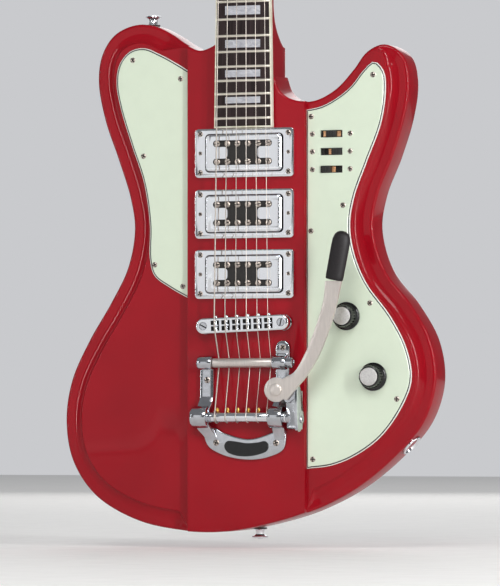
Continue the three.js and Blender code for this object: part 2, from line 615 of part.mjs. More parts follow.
// ---------------------------------------------------------------- assembly
const PAINT = { color: 0x9c1422, roughness: 0.18, metalness: 0 };
const PLASTIC = { color: 0xd7e2cf, roughness: 0.3, metalness: 0 };
const ROSEWOOD = { color: 0x2e2220, roughness: 0.55, metalness: 0 };
const BONE = { color: 0xe8e0c8, roughness: 0.5, metalness: 0 };
const CHROME = { color: 0xc9ccd2, roughness: 0.1, metalness: 1 };
const STEEL = { color: 0xb8b0a8, roughness: 0.35, metalness: 1 };
const BLACK = { color: 0x101012, roughness: 0.35, metalness: 0 };
const BAKELITE = { color: 0x16130f, roughness: 0.6, metalness: 0 };

const guitar = new THREE.Group();
guitar.name = 'electric_guitar';

function add(name, geometry, finish) {
  const mesh = new THREE.Mesh(geometry, new THREE.MeshStandardMaterial(finish));
  mesh.name = name;
  guitar.add(mesh);
}

add('body_center_block', centreBlock(), PAINT);
add('body_bass_wing', bassWing(), PAINT);
add('body_treble_wing', trebleWing(), PAINT);
add('neck', neck(), PAINT);
add('fingerboard', fingerboard(), ROSEWOOD);
add('nut', nut(), BONE);
add('truss_rod', trussRod(), STEEL);
add('truss_rod_cover', trussRodCover(), BLACK);
add('pickguard_bass', guard(BASS_GUARD, -1), PLASTIC);
add('pickguard_treble', trebleGuard(), PLASTIC);

for (const [name, z] of Object.entries(PICKUP_CENTRES)) {
  add(`pickup_ring_${name}`, pickupRing(z), CHROME);
  add(`pickup_cover_${name}`, pickupCover(z), CHROME);
  add(`pickup_coils_${name}`, pickupCoils(z), BAKELITE);
}

add('bridge_body', bridgeBody(), CHROME);
add('bridge_post_bass', bridgePost(-1), CHROME);
add('bridge_post_treble', bridgePost(1), CHROME);

add('vibrato_base', vibratoBase(), CHROME);
add('vibrato_tension_bar', tensionBar(), STEEL);
add('vibrato_shaft', vibratoShaft(), CHROME);
add('vibrato_arm_bracket', armBracket(), CHROME);
add('vibrato_spring', vibratoSpring(), STEEL);
add('vibrato_arm', vibratoArm(), STEEL);
add('vibrato_arm_bolt', armBolt(), STEEL);
add('vibrato_arm_grip', armGrip(), BLACK);

for (let number = 1; number <= 6; number += 1) {
  const side = number <= 3 ? 1 : -1;
  const z = TUNER_ROWS[number <= 3 ? number - 1 : 6 - number];
  add(`string_${number}`, guitarString(number), STEEL);
  add(`tuner_post_${number}`, tunerPost(side, z), CHROME);
  add(`tuner_button_${number}`, tunerButton(side, z), CHROME);
}
add('tuner_plate_bass', tunerPlate(-1), CHROME);
add('tuner_plate_treble', tunerPlate(1), CHROME);

for (const [name, place] of Object.entries(KNOBS)) {
  add(`knob_${name}`, knob(place), BLACK);
  add(`pot_${name}`, pot(place), STEEL);
}
SWITCH_ROWS.forEach((_, index) => add(`switch_slider_${index + 1}`, switchSlider(index), BLACK));
add('output_jack', outputJack(), CHROME);
add('strap_button_horn', strapButton(HORN_BUTTON, UP), CHROME);
add('strap_button_end', strapButton(END_BUTTON, DOWN), CHROME);

export default guitar;
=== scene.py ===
"""Finishes an electric guitar: lacquered body, mint scratchplates, three pickups, bridge and vibrato."""

import math
import random

import bmesh
import bpy
from bpy.props import FloatProperty, FloatVectorProperty, IntProperty, PointerProperty
from mathutils import Matrix, Vector


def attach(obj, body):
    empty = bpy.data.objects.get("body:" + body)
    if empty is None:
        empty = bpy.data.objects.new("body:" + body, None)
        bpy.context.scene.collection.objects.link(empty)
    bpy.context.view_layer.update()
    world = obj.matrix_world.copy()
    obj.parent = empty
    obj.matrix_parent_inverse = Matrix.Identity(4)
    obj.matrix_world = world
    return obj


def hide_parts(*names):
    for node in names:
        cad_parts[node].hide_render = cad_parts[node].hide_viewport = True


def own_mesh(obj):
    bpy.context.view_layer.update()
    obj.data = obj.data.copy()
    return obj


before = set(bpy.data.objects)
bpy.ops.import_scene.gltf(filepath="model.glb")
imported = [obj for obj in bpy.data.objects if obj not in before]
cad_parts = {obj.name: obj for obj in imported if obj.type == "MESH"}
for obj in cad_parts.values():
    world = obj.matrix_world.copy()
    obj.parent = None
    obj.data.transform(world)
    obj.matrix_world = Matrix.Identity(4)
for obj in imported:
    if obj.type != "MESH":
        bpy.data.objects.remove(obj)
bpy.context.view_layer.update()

bl_info = {
    "name": "Electric Guitar Finisher",
    "version": (1, 0, 0),
    "blender": (4, 5, 0),
    "location": "View3D > Sidebar > Guitar",
    "description": "Builds the finished surfaces and fittings of an electric guitar on its frame",
    "category": "Object",
}

MM = 0.001
BODY = "body"

# The pieces share one frame in millimetres: x across, y from front to back, z up the neck, nut at 0.
BOARD_TOP = -8.5
BOARD_BACK = -2.5
BOARD_LENGTH = 460.5
BOARD_HALF_NUT = 20.8
BOARD_HALF_END = 27.3
BOARD_RADIUS = 305.0
BLOCK_HALF = 55.25
PLATEAU = 6.5
RIM = 11.0
BODY_BACK = 46.0
NECK_TOP = -2.2
PICKUPS = {"neck": -482.7, "middle": -536.8, "bridge": -590.3}
COVER_FRONT = -8.6
BRIDGE_Z = -634.9
BRIDGE_SLANT = 0.0415
SHAFT_Y, SHAFT_Z = -9.0, -717.0
ROLLER_Y, ROLLER_Z = -6.6, -669.0
PIVOT_X, PIVOT_Z = 36.5, -693.0
HEAD_TILT = math.radians(-14.0)
HEAD_FRAME = Matrix.Translation((0.0, NECK_TOP, 5.0)) @ Matrix.Rotation(HEAD_TILT, 4, "X")
TUNER_ROWS = (42.0, 81.0, 120.0)
KNOBS = {"volume": (92.9, -628.2, 0.6), "tone": (117.9, -681.6, 0.45)}
SWITCH_ROWS = ((-467.0, 0.0), (-482.7, 5.0), (-498.4, -5.0))
STRING_RADII = (0.25, 0.25, 0.3, 0.35, 0.45, 0.6)

BODY_OUTLINE = (
    (-26, -383), (-33, -387.5), (-44, -390.5), (-58, -384.5), (-75, -374), (-92, -366.2), (-110, -365),
    (-130, -373.5), (-142, -391), (-145.5, -415), (-139, -450), (-126, -486), (-114.5, -521), (-110.5, -549),
    (-117, -583), (-133, -614), (-154, -648), (-171, -684), (-176.5, -720), (-170, -756), (-148, -787),
    (-108, -809), (-62, -818), (-20, -818.5), (20, -811.5), (60, -799.5), (100, -779.5), (136, -751),
    (162, -721), (173, -686), (168, -650), (150, -618), (126, -588), (115, -551), (119.5, -521),
    (133, -488), (144.5, -452), (148.5, -421), (143, -399), (127, -388.8), (111, -395), (98, -411),
    (81, -428), (60, -437.5), (42, -435.5), (31, -427), (26, -414),
)
BASS_GUARD = (
    (-55.3, -408.6), (-68.4, -400.7), (-84, -392.4), (-99, -386.6), (-113, -389.5), (-123, -401.5),
    (-125.4, -418.6), (-121.5, -440), (-111.3, -472), (-98.9, -508), (-93.4, -545), (-93.4, -575),
    (-89, -590.5), (-74, -601.5), (-55.3, -611.7),
)
TREBLE_GUARD = (
    (55.3, -445.3), (70, -442.2), (86.3, -433.7), (98.1, -424.1), (108, -412), (118.2, -404.2),
    (127, -412.5), (129, -427), (125, -457), (111.5, -492), (99.5, -523.5), (95.6, -548), (99.5, -573),
    (110.7, -599), (133.4, -629), (148, -657), (152.6, -684), (144, -707.4), (124, -734.5),
    (100, -751.3), (78, -759.8), (55.3, -762.6),
)
GUARD_SCREWS = (
    (-109.4, -397.3), (-63.6, -415), (-99, -483.5), (-88.1, -580.9), (-61.3, -600.5),
    (117.5, -415.8), (60, -451.5), (89.5, -530.3), (59.8, -552.7), (114.5, -616.8), (139.3, -701.2),
    (61.4, -754.2),
)
ARM_LEFT = ((46, -681.6), (53.3, -677.8), (64.6, -660.4), (77.5, -631.9), (83.1, -614.6), (85.1, -598))
ARM_RIGHT = ((46.6, -702.3), (56.3, -690.9), (65, -681.5), (78.8, -660.4), (92.1, -629.3), (96.4, -614.7), (100, -598))
COVE_SHARE = 0.88  # part of the step that is hollow, below the softened inner edge


# ------------------------------------------------------------------------------------ shapes
def linear(code):
    """A colour for the shader from its sRGB hex code."""
    parts = [int(code[i:i + 2], 16) / 255.0 for i in (0, 2, 4)]
    return tuple(c / 12.92 if c <= 0.04045 else ((c + 0.055) / 1.055) ** 2.4 for c in parts)


def smooth(points, count, closed=False):
    """Evenly spaced points on one smooth curve through the given ones."""
    knots = [Vector(p) for p in points]
    size = len(knots)
    spans = size if closed else size - 1
    dense = []
    for i in range(spans):
        b, c = knots[i], knots[(i + 1) % size]
        a = knots[i - 1] if closed or i else b * 2 - c
        d = knots[(i + 2) % size] if closed or i < spans - 1 else c * 2 - b
        ab, bc, cd = ((q - p).length ** 0.5 for p, q in ((a, b), (b, c), (c, d)))
        start = ((b - a) / ab - (c - a) / (ab + bc) + (c - b) / bc) * bc
        end = ((c - b) / bc - (d - b) / (bc + cd) + (d - c) / cd) * bc
        for k in range(24):
            t = k / 24.0
            dense.append(b * (2 * t**3 - 3 * t**2 + 1) + start * (t**3 - 2 * t**2 + t)
                         + c * (3 * t**2 - 2 * t**3) + end * (t**3 - t**2))
    dense.append(knots[0] if closed else knots[-1])
    reach = [0.0]
    for p, q in zip(dense, dense[1:]):
        reach.append(reach[-1] + (q - p).length)
    result, j = [], 0
    for i in range(count):
        goal = reach[-1] * i / (count if closed else count - 1)
        while j < len(reach) - 2 and reach[j + 1] < goal:
            j += 1
        share = (goal - reach[j]) / max(reach[j + 1] - reach[j], 1e-9)
        result.append(dense[j].lerp(dense[j + 1], min(share, 1.0)))
    return result


def arc(cx, cz, radius, start, end, steps):
    """Points on a round stretch, with its angles in degrees."""
    turns = [math.radians(start + (end - start) * i / steps) for i in range(steps + 1)]
    return [Vector((cx + radius * math.cos(t), cz + radius * math.sin(t))) for t in turns]


def rounded(width, height, radius, cx=0.0, cz=0.0, steps=6):
    """A rectangle with round corners."""
    x, z = width / 2 - radius, height / 2 - radius
    return (arc(cx + x, cz + z, radius, 0, 90, steps) + arc(cx - x, cz + z, radius, 90, 180, steps)
            + arc(cx - x, cz - z, radius, 180, 270, steps) + arc(cx + x, cz - z, radius, 270, 360, steps))


def ring_of(bm, points):
    """A closed loop of edges through the points."""
    verts = [bm.verts.new(p) for p in points]
    return verts, [bm.edges.new((verts[i - 1], verts[i])) for i in range(len(verts))]


def loft(loops, closed=False, caps=True, bands=None, bm=None):
    """Skins closed loops of points one after the other, with a material number for each band."""
    bm = bm or bmesh.new()
    rings = [ring_of(bm, points) for points in loops]
    pairs = list(zip(rings, rings[1:])) + ([(rings[-1], rings[0])] if closed else [])
    for i, (first, second) in enumerate(pairs):
        made = bmesh.ops.bridge_loops(bm, edges=first[1] + second[1])
        for face in made["faces"]:
            face.material_index = bands[i] if bands else 0
    if caps and not closed:
        bm.faces.new(rings[0][0])
        last = bm.faces.new(rings[-1][0])
        last.material_index = bands[-1] if bands else 0
    return bm


def prism(outline, back, steps, bm=None, even=True):
    """Raises a front-view outline from its back level, each step an (inset, rise, material) of its edge."""
    bm = bm or bmesh.new()
    verts = [bm.verts.new((p[0], back, p[1])) for p in outline]
    face = bm.faces.new(verts)
    face.normal_update()
    if face.normal.y > 0:
        face.normal_flip()
    for inset, rise, paint in steps:
        if inset:
            made = bmesh.ops.inset_region(bm, faces=[face], thickness=inset, depth=rise, use_even_offset=even)
            for side in made["faces"]:
                side.material_index = paint
        else:
            made = bmesh.ops.extrude_face_region(bm, geom=[face])["geom"]
            moved = [g for g in made if isinstance(g, bmesh.types.BMVert)]
            bmesh.ops.translate(bm, vec=(0, -rise, 0), verts=moved)
            face = next(g for g in made if isinstance(g, bmesh.types.BMFace))
            for edge in face.edges:
                for side in edge.link_faces:
                    side.material_index = paint
        face.material_index = paint
        face.normal_update()
    return bm


def lathe(profile, gap_shade, direction, steps=32, bm=None, bands=None):
    """Turns [radius, height] points about an axis, from the base in the given direction."""
    part = bmesh.new()
    verts = [part.verts.new((max(r, 0.0), 0.0, h)) for r, h in profile]
    edges = [part.edges.new(pair) for pair in zip(verts, verts[1:])]
    bmesh.ops.spin(part, geom=verts + edges, cent=(0, 0, 0), axis=(0, 0, 1), dvec=(0, 0, 0),
                   angle=math.tau, steps=steps, use_merge=True, use_normal_flip=False)
    bmesh.ops.remove_doubles(part, verts=part.verts, dist=1e-4)
    bmesh.ops.dissolve_degenerate(part, dist=1e-5, edges=part.edges)
    if bands:
        for face in part.faces:
            centre = face.calc_center_median()
            face.material_index = bands(centre)
    turn = Vector((0, 0, 1)).rotation_difference(Vector(direction)).to_matrix().to_4x4()
    bmesh.ops.transform(part, matrix=Matrix.Translation(gap_shade) @ turn, verts=part.verts)
    return merged(bm, part)


def merged(bm, part):
    """Adds one mesh to another."""
    bmesh.ops.recalc_face_normals(part, faces=part.faces)
    if bm is None:
        return part
    data = bpy.data.meshes.new("part")
    part.to_mesh(data)
    part.free()
    bm.from_mesh(data)
    bpy.data.meshes.remove(data)
    return bm


def block(x0, x1, y0, y1, z0, z1, bevel=0.0, bm=None, segments=2):
    """A box with softened edges."""
    part = bmesh.new()
    bmesh.ops.create_cube(part, size=1.0)
    bmesh.ops.scale(part, vec=(x1 - x0, y1 - y0, z1 - z0), verts=part.verts)
    bmesh.ops.translate(part, vec=((x0 + x1) / 2, (y0 + y1) / 2, (z0 + z1) / 2), verts=part.verts)
    if bevel:
        bmesh.ops.bevel(part, geom=part.edges[:], offset=bevel, segments=segments, profile=0.5,
                        affect="EDGES", material=-1)
    return merged(bm, part)


def placed(bm, matrix):
    """Moves a whole mesh by a matrix."""
    bmesh.ops.transform(bm, matrix=matrix, verts=bm.verts)
    return bm


def tube(path, radius, sides=10, bm=None, flatten=1.0):
    """A round rod through the points, its ends closed. The radius may be a list, one for each point."""
    spots = [Vector(p) for p in path]
    widths = radius if isinstance(radius, (list, tuple)) else [radius] * len(spots)
    loops, across = [], None
    for i, spot in enumerate(spots):
        along = (spots[min(i + 1, len(spots) - 1)] - spots[max(i - 1, 0)]).normalized()
        if across is None:
            across = along.orthogonal().normalized()
        across = (across - along * across.dot(along)).normalized()
        other = along.cross(across)
        loops.append([spot + widths[i] * (across * math.cos(t) + other * math.sin(t) * flatten)
                      for t in (math.tau * k / sides for k in range(sides))])
    return merged(bm, loft(loops))


def carved(piece, *cutters):
    """Takes the cutters' shapes away from a mesh."""
    body = quick_object("carved", piece)
    for cutter in cutters:
        tool = quick_object("cutter", cutter)
        change = body.modifiers.new("cut", "BOOLEAN")
        change.operation = "DIFFERENCE"
        change.solver = "EXACT"
        change.object = tool
        result = bpy.data.meshes.new_from_object(body.evaluated_get(bpy.context.evaluated_depsgraph_get()))
        body.modifiers.clear()
        body.data = result
        bpy.data.objects.remove(tool)
    bm = bmesh.new()
    bm.from_mesh(body.data)
    bpy.data.objects.remove(body)
    return bm


def quick_object(name, bm):
    """Puts a mesh in the scene for a moment."""
    bmesh.ops.recalc_face_normals(bm, faces=bm.faces)
    data = bpy.data.meshes.new(name)
    bm.to_mesh(data)
    bm.free()
    thing = bpy.data.objects.new(name, data)
    bpy.context.scene.collection.objects.link(thing)
    return thing


def piece(name, bm, paints, body=BODY, slot=None, nodes=(), sharp=32.0, weld=True):
    """Makes the finished object from a mesh in millimetres and fastens it to its body."""
    if weld:
        bmesh.ops.remove_doubles(bm, verts=bm.verts, dist=2e-4)
        bmesh.ops.recalc_face_normals(bm, faces=bm.faces)
    bmesh.ops.scale(bm, vec=(MM, MM, MM), verts=bm.verts)
    data = bpy.data.meshes.new(name)
    bm.to_mesh(data)
    bm.free()
    for paint in paints if isinstance(paints, (list, tuple)) else (paints,):
        data.materials.append(paint)
    data.shade_smooth()
    data.set_sharp_from_angle(angle=math.radians(sharp))
    thing = bpy.data.objects.new(name, data)
    bpy.context.scene.collection.objects.link(thing)
    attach(thing, body)
    if nodes:
        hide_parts(*nodes)
    return thing


# ------------------------------------------------------------------------------------ finishes
def node(tree, kind, links=None, **settings):
    """Adds a shader node, sets its values and links its inputs."""
    made = tree.nodes.new(kind)
    for key, value in settings.items():
        if hasattr(made, key):
            setattr(made, key, value)
        else:
            made.inputs[key.replace("_", " ")].default_value = value
    for name, source in (links or {}).items():
        tree.links.new(source, made.inputs[name])
    return made


def shader(name, colour, roughness, metallic=0.0, **more):
    """A material with its main shader, whose steady values sit on the shader itself."""
    if name in bpy.data.materials:
        return bpy.data.materials[name], None, None
    paint = bpy.data.materials.new(name)
    paint.use_nodes = True
    tree = paint.node_tree
    main = tree.nodes["Principled BSDF"]
    main.inputs["Base Color"].default_value = (*colour, 1.0)
    main.inputs["Roughness"].default_value = roughness
    main.inputs["Metallic"].default_value = metallic
    for key, value in more.items():
        main.inputs[key.replace("_", " ")].default_value = value
    return paint, tree, main


def ramp(tree, source, stops):
    """A colour band between stops of (place, colour)."""
    band = node(tree, "ShaderNodeValToRGB", {"Fac": source})
    for i, (place, colour) in enumerate(stops):
        stop = band.color_ramp.elements[i] if i < 2 else band.color_ramp.elements.new(place)
        stop.position = place
        stop.color = (*colour, 1.0)
    return band.outputs["Color"]


def speckle(tree, size_mm, detail=3.0, stretch=(1.0, 1.0, 1.0)):
    """Noise on the object's own metres, with grains of about the given size."""
    place = node(tree, "ShaderNodeTexCoord")
    spread = node(tree, "ShaderNodeMapping", {"Vector": place.outputs["Object"]})
    spread.inputs["Scale"].default_value = stretch
    return node(tree, "ShaderNodeTexNoise", {"Vector": spread.outputs["Vector"]},
                Scale=1.0 / (size_mm * MM), Detail=detail, Roughness=0.55)


def roughen(tree, main, source, low, high):
    """Lets the roughness wander between two values."""
    span = node(tree, "ShaderNodeMapRange", {"Value": source}, To_Min=low, To_Max=high,
                From_Min=0.1, From_Max=0.9)
    tree.links.new(span.outputs["Result"], main.inputs["Roughness"])


def dent(tree, main, source, depth_mm, strength=1.0):
    """Adds relief of about the given depth."""
    relief = node(tree, "ShaderNodeBump", {"Height": source}, Strength=strength, Distance=depth_mm * MM)
    tree.links.new(relief.outputs["Normal"], main.inputs["Normal"])


def tinted(tree, main, source, dark, light, low=0.35, high=0.65):
    """Lets the colour wander between two tones."""
    tree.links.new(ramp(tree, source, ((low, dark), (high, light))), main.inputs["Base Color"])


def shade(colour, amount):
    """The same colour, lighter or darker."""
    return tuple(min(c * amount, 1.0) for c in colour)


def lacquer():
    """Nitrocellulose lacquer, sprayed and buffed: deep colour under a clear gloss, with a very slight orange peel."""
    colour = bpy.context.scene.guitar_finish.lacquer
    paint, tree, main = shader("nitro_lacquer_buffed", colour, 0.3, Specular_IOR_Level=0.05, Coat_Weight=0.4,
                               Coat_Roughness=0.03, Coat_IOR=1.5, IOR=1.5)
    if tree:
        peel = speckle(tree, 3.2, 2.0)
        broad = speckle(tree, 90.0, 2.0)
        tinted(tree, main, broad.outputs["Fac"], shade(colour, 0.92), shade(colour, 1.06))
        roughen(tree, main, broad.outputs["Fac"], 0.26, 0.34)
        dent(tree, main, peel.outputs["Fac"], 0.02, 0.3)
    return paint


def pvc(name, colour, roughness=0.25):
    """Calendered PVC ply, pressed smooth: a soft gloss with faint waviness."""
    paint, tree, main = shader(name, colour, roughness, IOR=1.52, Coat_Weight=0.25, Coat_Roughness=0.1)
    if tree:
        wave = speckle(tree, 14.0, 2.0)
        tinted(tree, main, wave.outputs["Fac"], shade(colour, 0.97), shade(colour, 1.02), 0.1, 0.9)
        roughen(tree, main, wave.outputs["Fac"], roughness - 0.03, roughness + 0.05)
        dent(tree, main, wave.outputs["Fac"], 0.03, 0.08)
    return paint


def chrome():
    """Bright chrome plate on zinc, polished: mirror-like with faint wipe marks."""
    colour = bpy.context.scene.guitar_finish.chrome
    paint, tree, main = shader("chrome_plate_polished", colour, 0.07, 1.0)
    if tree:
        wipe = speckle(tree, 7.0, 4.0, (1.0, 1.0, 0.35))
        roughen(tree, main, wipe.outputs["Fac"], 0.05, 0.13)
        dent(tree, main, wipe.outputs["Fac"], 0.006, 0.15)
    return paint


def cast_chrome():
    """Tumbled and plated aluminium casting: brighter than steel, with a softened sheen and shallow ripples."""
    colour = bpy.context.scene.guitar_finish.casting
    paint, tree, main = shader("plated_casting_tumbled", colour, 0.12, 1.0)
    if tree:
        ripple = speckle(tree, 4.5, 3.0)
        tinted(tree, main, ripple.outputs["Fac"], shade(colour, 0.93), shade(colour, 1.03))
        roughen(tree, main, ripple.outputs["Fac"], 0.09, 0.17)
        dent(tree, main, ripple.outputs["Fac"], 0.03, 0.2)
    return paint


def satin_steel():
    """Stainless bar, brushed along its length: warm grey with fine streaks."""
    colour = bpy.context.scene.guitar_finish.arm
    paint, tree, main = shader("stainless_bar_brushed", colour, 0.34, 0.7)
    if tree:
        streak = speckle(tree, 1.2, 3.0, (1.0, 1.0, 0.08))
        tinted(tree, main, streak.outputs["Fac"], shade(colour, 0.94), shade(colour, 1.04))
        roughen(tree, main, streak.outputs["Fac"], 0.3, 0.42)
        dent(tree, main, streak.outputs["Fac"], 0.01, 0.25)
    return paint


def screw_nickel():
    """Nickel-plated steel screws, barrel plated: warm grey; their recesses carry painted shade from a second material.
    """
    paint, tree, main = shader("nickel_screw_barrel_plated", linear("A89C8C"), 0.25, 1.0)
    if tree:
        grain = speckle(tree, 0.9, 2.0)
        tinted(tree, main, grain.outputs["Fac"], linear("A3978E"), linear("CBC0B7"))
        roughen(tree, main, grain.outputs["Fac"], 0.18, 0.38)
    return paint


def recess_dark():
    """Screw recesses and slots, and the bridge's saddle cavities: painted shade, a dark half-metallic steel colour
    that stands in for the shadow in the hollows.
    """
    paint, tree, main = shader("steel_recess_painted_shade", linear("2B2522"), 0.6, 0.5)
    if tree:
        shade_grain = speckle(tree, 0.6, 2.0)
        # The mottle only varies the painted shade a little.
        tinted(tree, main, shade_grain.outputs["Fac"], linear("15100E"), linear("2A2320"))
    return paint


def string_wire():
    """Plain spring steel string, drawn: thin bright line."""
    paint, tree, main = shader("spring_steel_wire_drawn", linear("CFC6BE"), 0.45, 0.75)
    if tree:
        grain = speckle(tree, 2.0, 2.0)
        roughen(tree, main, grain.outputs["Fac"], 0.4, 0.5)
    return paint


def wound_wire():
    """Nickel wire wound on a steel core: fine rings across the string, drawn at 0.6 mm so they show."""
    paint, tree, main = shader("nickel_wound_string", linear("B4ACA4"), 0.45, 0.8)
    if tree:
        place = node(tree, "ShaderNodeTexCoord")
        rings = node(tree, "ShaderNodeTexWave", {"Vector": place.outputs["Object"]}, bands_direction="Z",
                     Scale=1.0 / (0.6 * MM) / 6.2832 * 2.0, Distortion=0.0)
        # The grooves between the windings are tinted darker: painted shade, beside the bump that gives the relief.
        tinted(tree, main, rings.outputs["Fac"], linear("8E867E"), linear("CAC2BA"), 0.2, 0.8)
        dent(tree, main, rings.outputs["Fac"], 0.1, 0.6)
    return paint


def black_plastic():
    """Moulded black ABS with a high polish."""
    paint, tree, main = shader("abs_moulded_polished", linear("0B0B0C"), 0.14, IOR=1.53, Specular_IOR_Level=0.4)
    if tree:
        skin = speckle(tree, 2.5, 3.0)
        tinted(tree, main, skin.outputs["Fac"], linear("09090A"), linear("121214"))
        roughen(tree, main, skin.outputs["Fac"], 0.1, 0.2)
    return paint


def grip_rubber():
    """Dipped vinyl sleeve: almost matt black with a fine grain."""
    paint, tree, main = shader("vinyl_sleeve_dipped", linear("171315"), 0.55, Specular_IOR_Level=0.35)
    if tree:
        skin = speckle(tree, 1.5, 3.0)
        tinted(tree, main, skin.outputs["Fac"], linear("130F11"), linear("1F1A1D"))
        roughen(tree, main, skin.outputs["Fac"], 0.48, 0.66)
        dent(tree, main, skin.outputs["Fac"], 0.03, 0.25)
    return paint


def matt_black():
    """Moulded nylon bobbins and slots: dull black."""
    paint, tree, main = shader("nylon_moulded_matt", linear("171412"), 0.6)
    if tree:
        skin = speckle(tree, 1.0, 3.0)
        tinted(tree, main, skin.outputs["Fac"], linear("100E0D"), linear("221E1B"))
        dent(tree, main, skin.outputs["Fac"], 0.03, 0.3)
    return paint


def rosewood():
    """Oiled rosewood: dark brown with long pores and streaks running up the neck."""
    dark = bpy.context.scene.guitar_finish.rosewood
    paint, tree, main = shader("rosewood_oiled", dark, 0.5, IOR=1.45, Specular_IOR_Level=0.2)
    if tree:
        grain = speckle(tree, 3.0, 5.0, (1.0, 1.0, 0.06))
        pores = speckle(tree, 0.7, 2.0, (1.0, 1.0, 0.12))
        tinted(tree, main, grain.outputs["Fac"], shade(dark, 0.55), shade(dark, 1.7), 0.3, 0.7)
        roughen(tree, main, grain.outputs["Fac"], 0.42, 0.62)
        dent(tree, main, pores.outputs["Fac"], 0.08, 0.4)
    return paint


def pearl():
    """Celluloid pearl block: cloudy silver-grey swirls."""
    paint, tree, main = shader("celluloid_pearl", linear("BDBFC4"), 0.22, 0.15, Coat_Weight=0.4)
    if tree:
        cloud = speckle(tree, 6.0, 4.0, (1.0, 1.0, 1.8))
        cloud.inputs["Distortion"].default_value = 1.4
        tinted(tree, main, cloud.outputs["Fac"], linear("A6A7AF"), linear("CECFD6"), 0.3, 0.7)
    return paint


def cream_binding():
    """Aged celluloid binding, scraped flush: warm cream."""
    paint, tree, main = shader("celluloid_binding_aged", linear("E6DDBE"), 0.32, IOR=1.5)
    if tree:
        age = speckle(tree, 20.0, 3.0)
        tinted(tree, main, age.outputs["Fac"], linear("DAD3BC"), linear("EEEAD9"))
        roughen(tree, main, age.outputs["Fac"], 0.28, 0.4)
    return paint


def nickel_fret():
    """Nickel-silver fret wire, crowned and polished."""
    paint, tree, main = shader("nickel_silver_fret", linear("EDE6D8"), 0.3, 0.6)
    if tree:
        worn = speckle(tree, 3.0, 2.0)
        roughen(tree, main, worn.outputs["Fac"], 0.14, 0.3)
    return paint


def brass():
    """Turned brass: yellow metal, lightly tarnished."""
    paint, tree, main = shader("brass_turned", linear("B58B3C"), 0.3, 1.0)
    if tree:
        tarnish = speckle(tree, 1.5, 2.0)
        tinted(tree, main, tarnish.outputs["Fac"], linear("8F6A2A"), linear("CDA555"))
        roughen(tree, main, tarnish.outputs["Fac"], 0.24, 0.42)
    return paint


def copper():
    """Rolled phosphor-bronze contact strip: bright orange-brown metal."""
    paint, tree, main = shader("bronze_strip_rolled", linear("E3A777"), 0.38, 0.7)
    if tree:
        tarnish = speckle(tree, 1.2, 2.0)
        tinted(tree, main, tarnish.outputs["Fac"], linear("C98A5C"), linear("F0BE92"))
    return paint


def felt():
    """Pressed wool felt washer: soft dark fibres."""
    paint, tree, main = shader("wool_felt_pressed", linear("2A2624"), 0.95, Sheen_Weight=0.5)
    if tree:
        fibre = speckle(tree, 0.6, 4.0)
        tinted(tree, main, fibre.outputs["Fac"], linear("1C1918"), linear("3A3532"))
        dent(tree, main, fibre.outputs["Fac"], 0.2, 0.6)
    return paint


def studio_paper():
    """Pale seamless studio floor."""
    paint, tree, main = shader("studio_floor_paper", linear("E4E2DE"), 0.7)
    if tree:
        fleck = speckle(tree, 30.0, 3.0)
        main.inputs["Emission Color"].default_value = (*linear("C9CACD"), 1.0)
        main.inputs["Emission Strength"].default_value = 0.3
        tinted(tree, main, fleck.outputs["Fac"], linear("E2E0DC"), linear("E8E6E2"))
    return paint


# ------------------------------------------------------------------------------------ properties
def length(name, description, default):
    return FloatProperty(name=name, description=description, default=default, min=0.0, unit="LENGTH")


def colour(name, description, code):
    return FloatVectorProperty(name=name, description=description, default=linear(code), size=3,
                               subtype="COLOR", min=0.0, max=1.0)


class GuitarSizes(bpy.types.PropertyGroup):
    """Sizes a maker would change."""

    scale_length: length("Scale length", "Nut to the bridge line", 0.62865)
    rim_width: length("Rim width", "Flat outer rim of the wings", 0.0085)
    cove_width: length("Cove width", "Hollow between the rim and the flat top", 0.0085)
    back_round: length("Back edge", "Radius of the body's back edge", 0.009)
    fret_width: length("Fret width", "Width of the fret crown", 0.0024)
    fret_height: length("Fret height", "Height of the fret crown", 0.001)
    binding: length("Binding", "Thickness of the neck binding", 0.0012)
    frets: IntProperty(name="Frets", description="How many frets the board has", default=22, min=1, max=24)


class GuitarFinish(bpy.types.PropertyGroup):
    """Colours a maker would change."""

    lacquer: colour("Lacquer", "Colour of the body and neck", "9A0A1A")
    guard: colour("Scratchplate", "Colour of the plates' top ply", "DCE8D2")
    rosewood: colour("Fingerboard", "Mean colour of the board", "2A2021")
    chrome: colour("Chrome", "Tint of the plated parts", "E6E8EC")
    casting: colour("Casting", "Tint of the vibrato's castings", "C2C4C9")
    arm: colour("Arm", "Tint of the vibrato arm", "D2CAC4")


# ------------------------------------------------------------------------------------ screws
def cross_head(radius, depth, slotted=False):
    """A raised screw head that faces along +Z, with a driver's recess, kept as mesh data."""
    name = f"screw_{radius:.1f}_{'slot' if slotted else 'cross'}"
    if name in bpy.data.meshes:
        return bpy.data.meshes[name]
    dome = [(0.0, -depth), (radius, -depth), (radius, -0.1 * radius)]
    dome += [(radius * math.cos(t), 0.32 * radius * math.sin(t) - 0.1 * radius)
             for t in (math.radians(15 * k) for k in range(1, 6))]
    dome += [(0.0, 0.22 * radius)]
    width = (0.15 if slotted else 0.17) * radius
    reach = 1.3 * radius if slotted else 0.74 * radius
    floor = -0.45 * radius if slotted else 0.01 * radius
    cutters = [block(-reach, reach, -width, width, floor, radius)]
    if not slotted:
        cutters.append(block(-width, width, -reach, reach, floor, radius))
    head = carved(lathe(dome, (0, 0, 0), (0, 0, 1), 20), *cutters)
    # The faces of the driver's recess take the second material: painted shade in the hollow.
    for face in head.faces:
        spot = face.calc_center_median()
        across, along = sorted((abs(spot.x), abs(spot.y)))
        in_cross = across < width * 1.02 and along < reach * 1.02
        in_slot = abs(spot.y) < width * 1.02
        if (in_slot if slotted else in_cross) and spot.z > -0.5 * radius:
            face.material_index = 1
    data = bpy.data.meshes.new(name)
    head.to_mesh(data)
    head.free()
    return data


